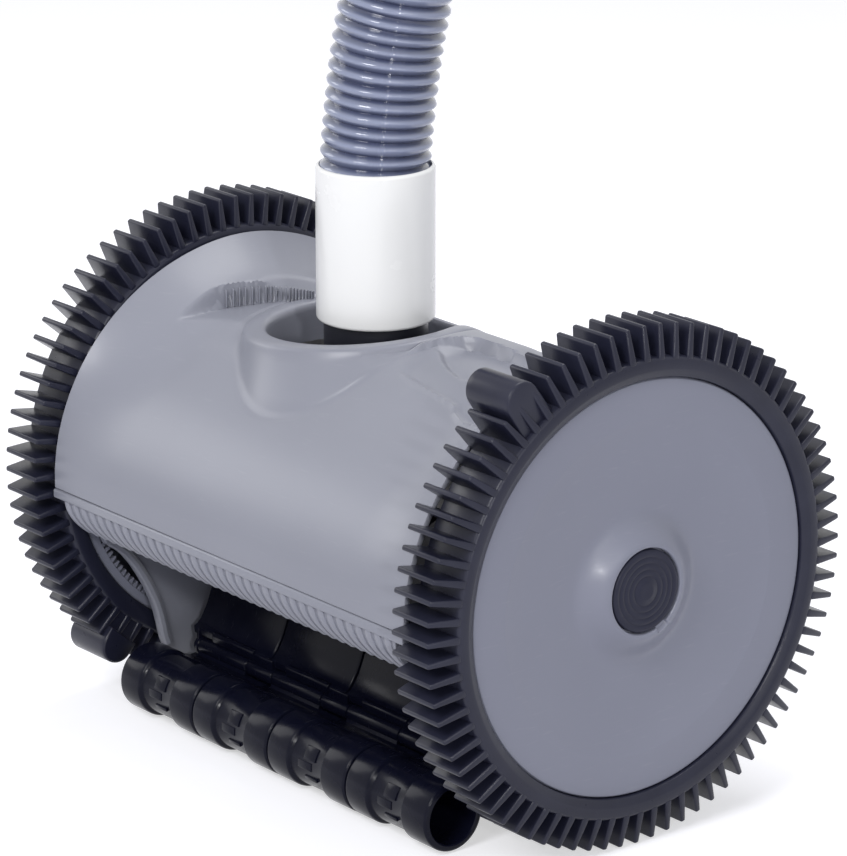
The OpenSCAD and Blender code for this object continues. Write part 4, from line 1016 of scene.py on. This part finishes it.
def makeSkirt(index, end):
    s, h = skirtShape, headShape
    x0 = -s["row"] + index * s["pitch"] + s["gap"] / 2
    x1 = x0 + s["pitch"] - s["gap"]
    middle = (x0 + x1) / 2 - 0.6
    a, b = middle - s["recess"], middle + s["recess"]
    r, low, w = s["drum"], s["drum"] - s["deep"], s["edge"]
    profile = [(x0 + 0.5, s["bore"]), (x0, s["bore"] + 0.5)]
    profile += [(x0 + w * along, r - w * down) for along, down in s["edgeLine"]]
    profile += [(a - 1.9, r), (a - 1.3, r - 0.08), (a - 0.75, r - 0.34), (a - 0.3, r - 0.8), (a - 0.05, r - 1.3)]
    profile += [(a + 0.25, low + 0.12), (a + 0.7, low), (b - 0.9, low), (b - 0.35, low + 0.3), (b - 0.1, low + 0.9)]
    profile += [(b + 0.15, r - 0.45), (b + 0.55, r - 0.1), (b + 1.1, r)]
    profile += [(x1 - w * along, r - w * down) for along, down in s["edgeLine"][::-1]]
    profile += [(x1, s["bore"] + 0.5), (x1 - 0.5, s["bore"])]
    drum, hinge = (s["drumY"], s["drumZ"]), (-h["hingeY"], h["hingeZ"])
    bm = lathe(profile, 96, drum)
    for start, stop, shift, wide, lift in s["tabs"]:
        curve = [math.radians(180 - between(start, stop, k / 7)) for k in range(8)]
        outline = [pointAt(angle, low - 0.2, drum) for angle in curve]
        outline += [pointAt(angle, low + lift, drum) for angle in curve[::-1]]
        at = middle + shift
        join(bm, prism(bmesh.new(), outline, at - wide / 2, at + wide / 2, 0.25, 2, True))
    # the panel's root wraps round under the head's hinge blocks: partly a hinge lip, partly a dark filler that
    # closes the slit there and stands in for the shade under the head
    root = [pointAt(math.radians(angle), s["rootOut"], hinge) for angle in (-110, -90, -70)]
    root += [pointAt(math.radians(angle), s["rootIn"], hinge) for angle in (-70, -90, -110, -125)]
    join(bm, prism(bmesh.new(), s["above"] + s["below"] + root, x0, x1, 0.5, 2, True))
    k0, k1 = x0 - s["gap"] / 2 + h["blockRight"] + 0.3, x1 + s["gap"] / 2 - h["blockLeft"] - 0.3
    join(bm, hingeTube(k0, k1, s["pin"]))
    join(bm, prism(bmesh.new(), s["web"], k0 + 0.2, k1 - 0.2, 0.2, 1))
    if end == "rear":
        turnRound(bm)
    number = 4 - index if end == "rear" else index + 1  # both rows are counted from the left
    body, node = f"{end}_flap_{number}", f"{end}_skirt_{number}"
    return finishPiece(bm, f"{end}Skirt{number}", body, "gloss", [node], 32)


makeHead()
for skirtIndex in range(4):
    for endName in ("front", "rear"):
        makeSkirt(skirtIndex, endName)
print("head and skirts made")

# Swivel: the stem that the cuff sits on, over a round seat
swivelShape = {  # outlines of (radius, z)
    "stem": [(17.0, 43.9), (29.4, 43.9), (30.0, 44.5), (30.0, 47.3), (29.4, 47.9), (24.4, 47.9), (23.2, 48.7),
             (23.0, 50), (23.0, 121.6), (22.2, 122.5), (17.6, 122.5), (17.0, 121.9)],
    "ring": [(30.6, 40.0), (36.0, 40.0), (36.0, 50.8), (35.1, 51.7), (24.8, 51.7), (24.0, 51.0), (24.0, 48.9),
             (24.5, 48.2), (30.6, 48.2)],
    "grips": 12, "gripOut": 35.6, "gripZ": 45.6, "grip": (1.4, 3, 9.6),
}


def makeSwivel():
    s = swivelShape
    stem, ring = latheUp(s["stem"], 96), latheUp(s["ring"], 96)
    finishPiece(stem, "swivelStem", "swivel", "blackPlastic", ["swivel_stem"])
    middle = Matrix.Translation((stemX, 0, axleHeight + s["gripZ"] * mm))
    out = Matrix.Translation((s["gripOut"] * mm, 0, 0))
    for k in range(s["grips"]):
        grip = bmesh.new()
        cube(grip, middle @ Matrix.Rotation(math.tau * k / s["grips"], 4, "Z") @ out, s["grip"])
        soften(grip, grip.edges, 0.4)
        join(ring, grip)
    finishPiece(ring, "swivelRetainer", "chassis", "blackPlastic", ["swivel_retainer"])


makeSwivel()
print("swivel made")

# The CAD nodes that are kept get the finished materials
keptLooks = {
    "shell_grey": "shell", "wheel_grey": "wheel", "black_gloss": "gloss", "black_plastic": "blackPlastic",
    "tyre_rubber": "tyre", "seal_rubber": "seal", "steel": "steel", "white_plastic": "gearWhite", "brass": "brass",
    "foam": "foam",
}
for row in frame["record"]["subparts"]:
    for place in frame["nodes"][row["node"]].material_slots:
        place.material = looks[keptLooks.get(row["material_slot"], "hose")]

# Light, floor and backdrop
studio = {
    "middle": (0, 0, 0.12), "sky": 0.42, "skyTint": (0.90, 0.92, 1.0),
    "floor": (0.62, 0.62, 0.66), "floorGlow": 0.55, "floorHeight": -0.0005,
}


def addLamp(name, place, power, size=0.8, aim=studio["middle"]):
    data = bpy.data.lights.new(name, "AREA")
    data.shape, data.size, data.size_y, data.energy = "RECTANGLE", size, size, power
    lamp = bpy.data.objects.new(name, data)
    lamp.location = place
    lamp.rotation_euler = (Vector(aim) - Vector(place)).to_track_quat("-Z", "Y").to_euler()
    scene.collection.objects.link(lamp)


addLamp("keyLamp", (0.55, -1.65, 1.5), 24)
addLamp("fillLamp", (2.0, -0.2, 0.9), 5, 1.0)
addLamp("glintLamp", (1.75, -0.8, 0.64), 7, 0.1, (0.15, -0.02, 0.12))
addLamp("topLamp", (-0.1, 0.5, 1.9), 16, 1.0)
addLamp("leftLamp", (-1.5, -0.7, 0.9), 5)


def whereSeen(look):  # 1 for rays from the camera, and those off shiny and through clear parts
    rays = look.tree.nodes.new("ShaderNodeLightPath")
    kinds = ("Is Camera Ray", "Is Glossy Ray", "Is Transmission Ray")
    straight, mirrored, through = (Wire(look, rays.outputs[kind]) for kind in kinds)
    return straight.maths("MAXIMUM", mirrored).maths("MAXIMUM", through)


def makeWorld():
    world = bpy.data.worlds.new("studioWorld")
    world.use_nodes = True
    tree = world.node_tree
    look = Look.__new__(Look)
    look.tree = tree
    sky = tree.nodes["Background"]
    seen = whereSeen(look)
    look.feed(sky.inputs["Strength"], seen * (1 - studio["sky"]) + studio["sky"])
    look.feed(sky.inputs["Color"], look.blend(seen, studio["skyTint"], (1.0, 1.0, 1.0)))
    scene.world = world


def makeFloor():
    bm = bmesh.new()
    bmesh.ops.create_grid(bm, x_segments=1, y_segments=1, size=6)
    mesh = bpy.data.meshes.new("studioFloor")
    bm.to_mesh(mesh)
    bm.free()
    look = Look("paleFloor", Roughness=0.9, Specular_IOR_Level=0.1)
    look.set(Base_Color=studio["floor"], Emission_Color=(1.0, 1.0, 1.0))
    look.set(Emission_Strength=whereSeen(look) * studio["floorGlow"])
    mesh.materials.append(look.material)
    floor = bpy.data.objects.new("studioFloor", mesh)
    floor.location.z = studio["floorHeight"]
    scene.collection.objects.link(floor)


makeWorld()
makeFloor()

print("scene ready")
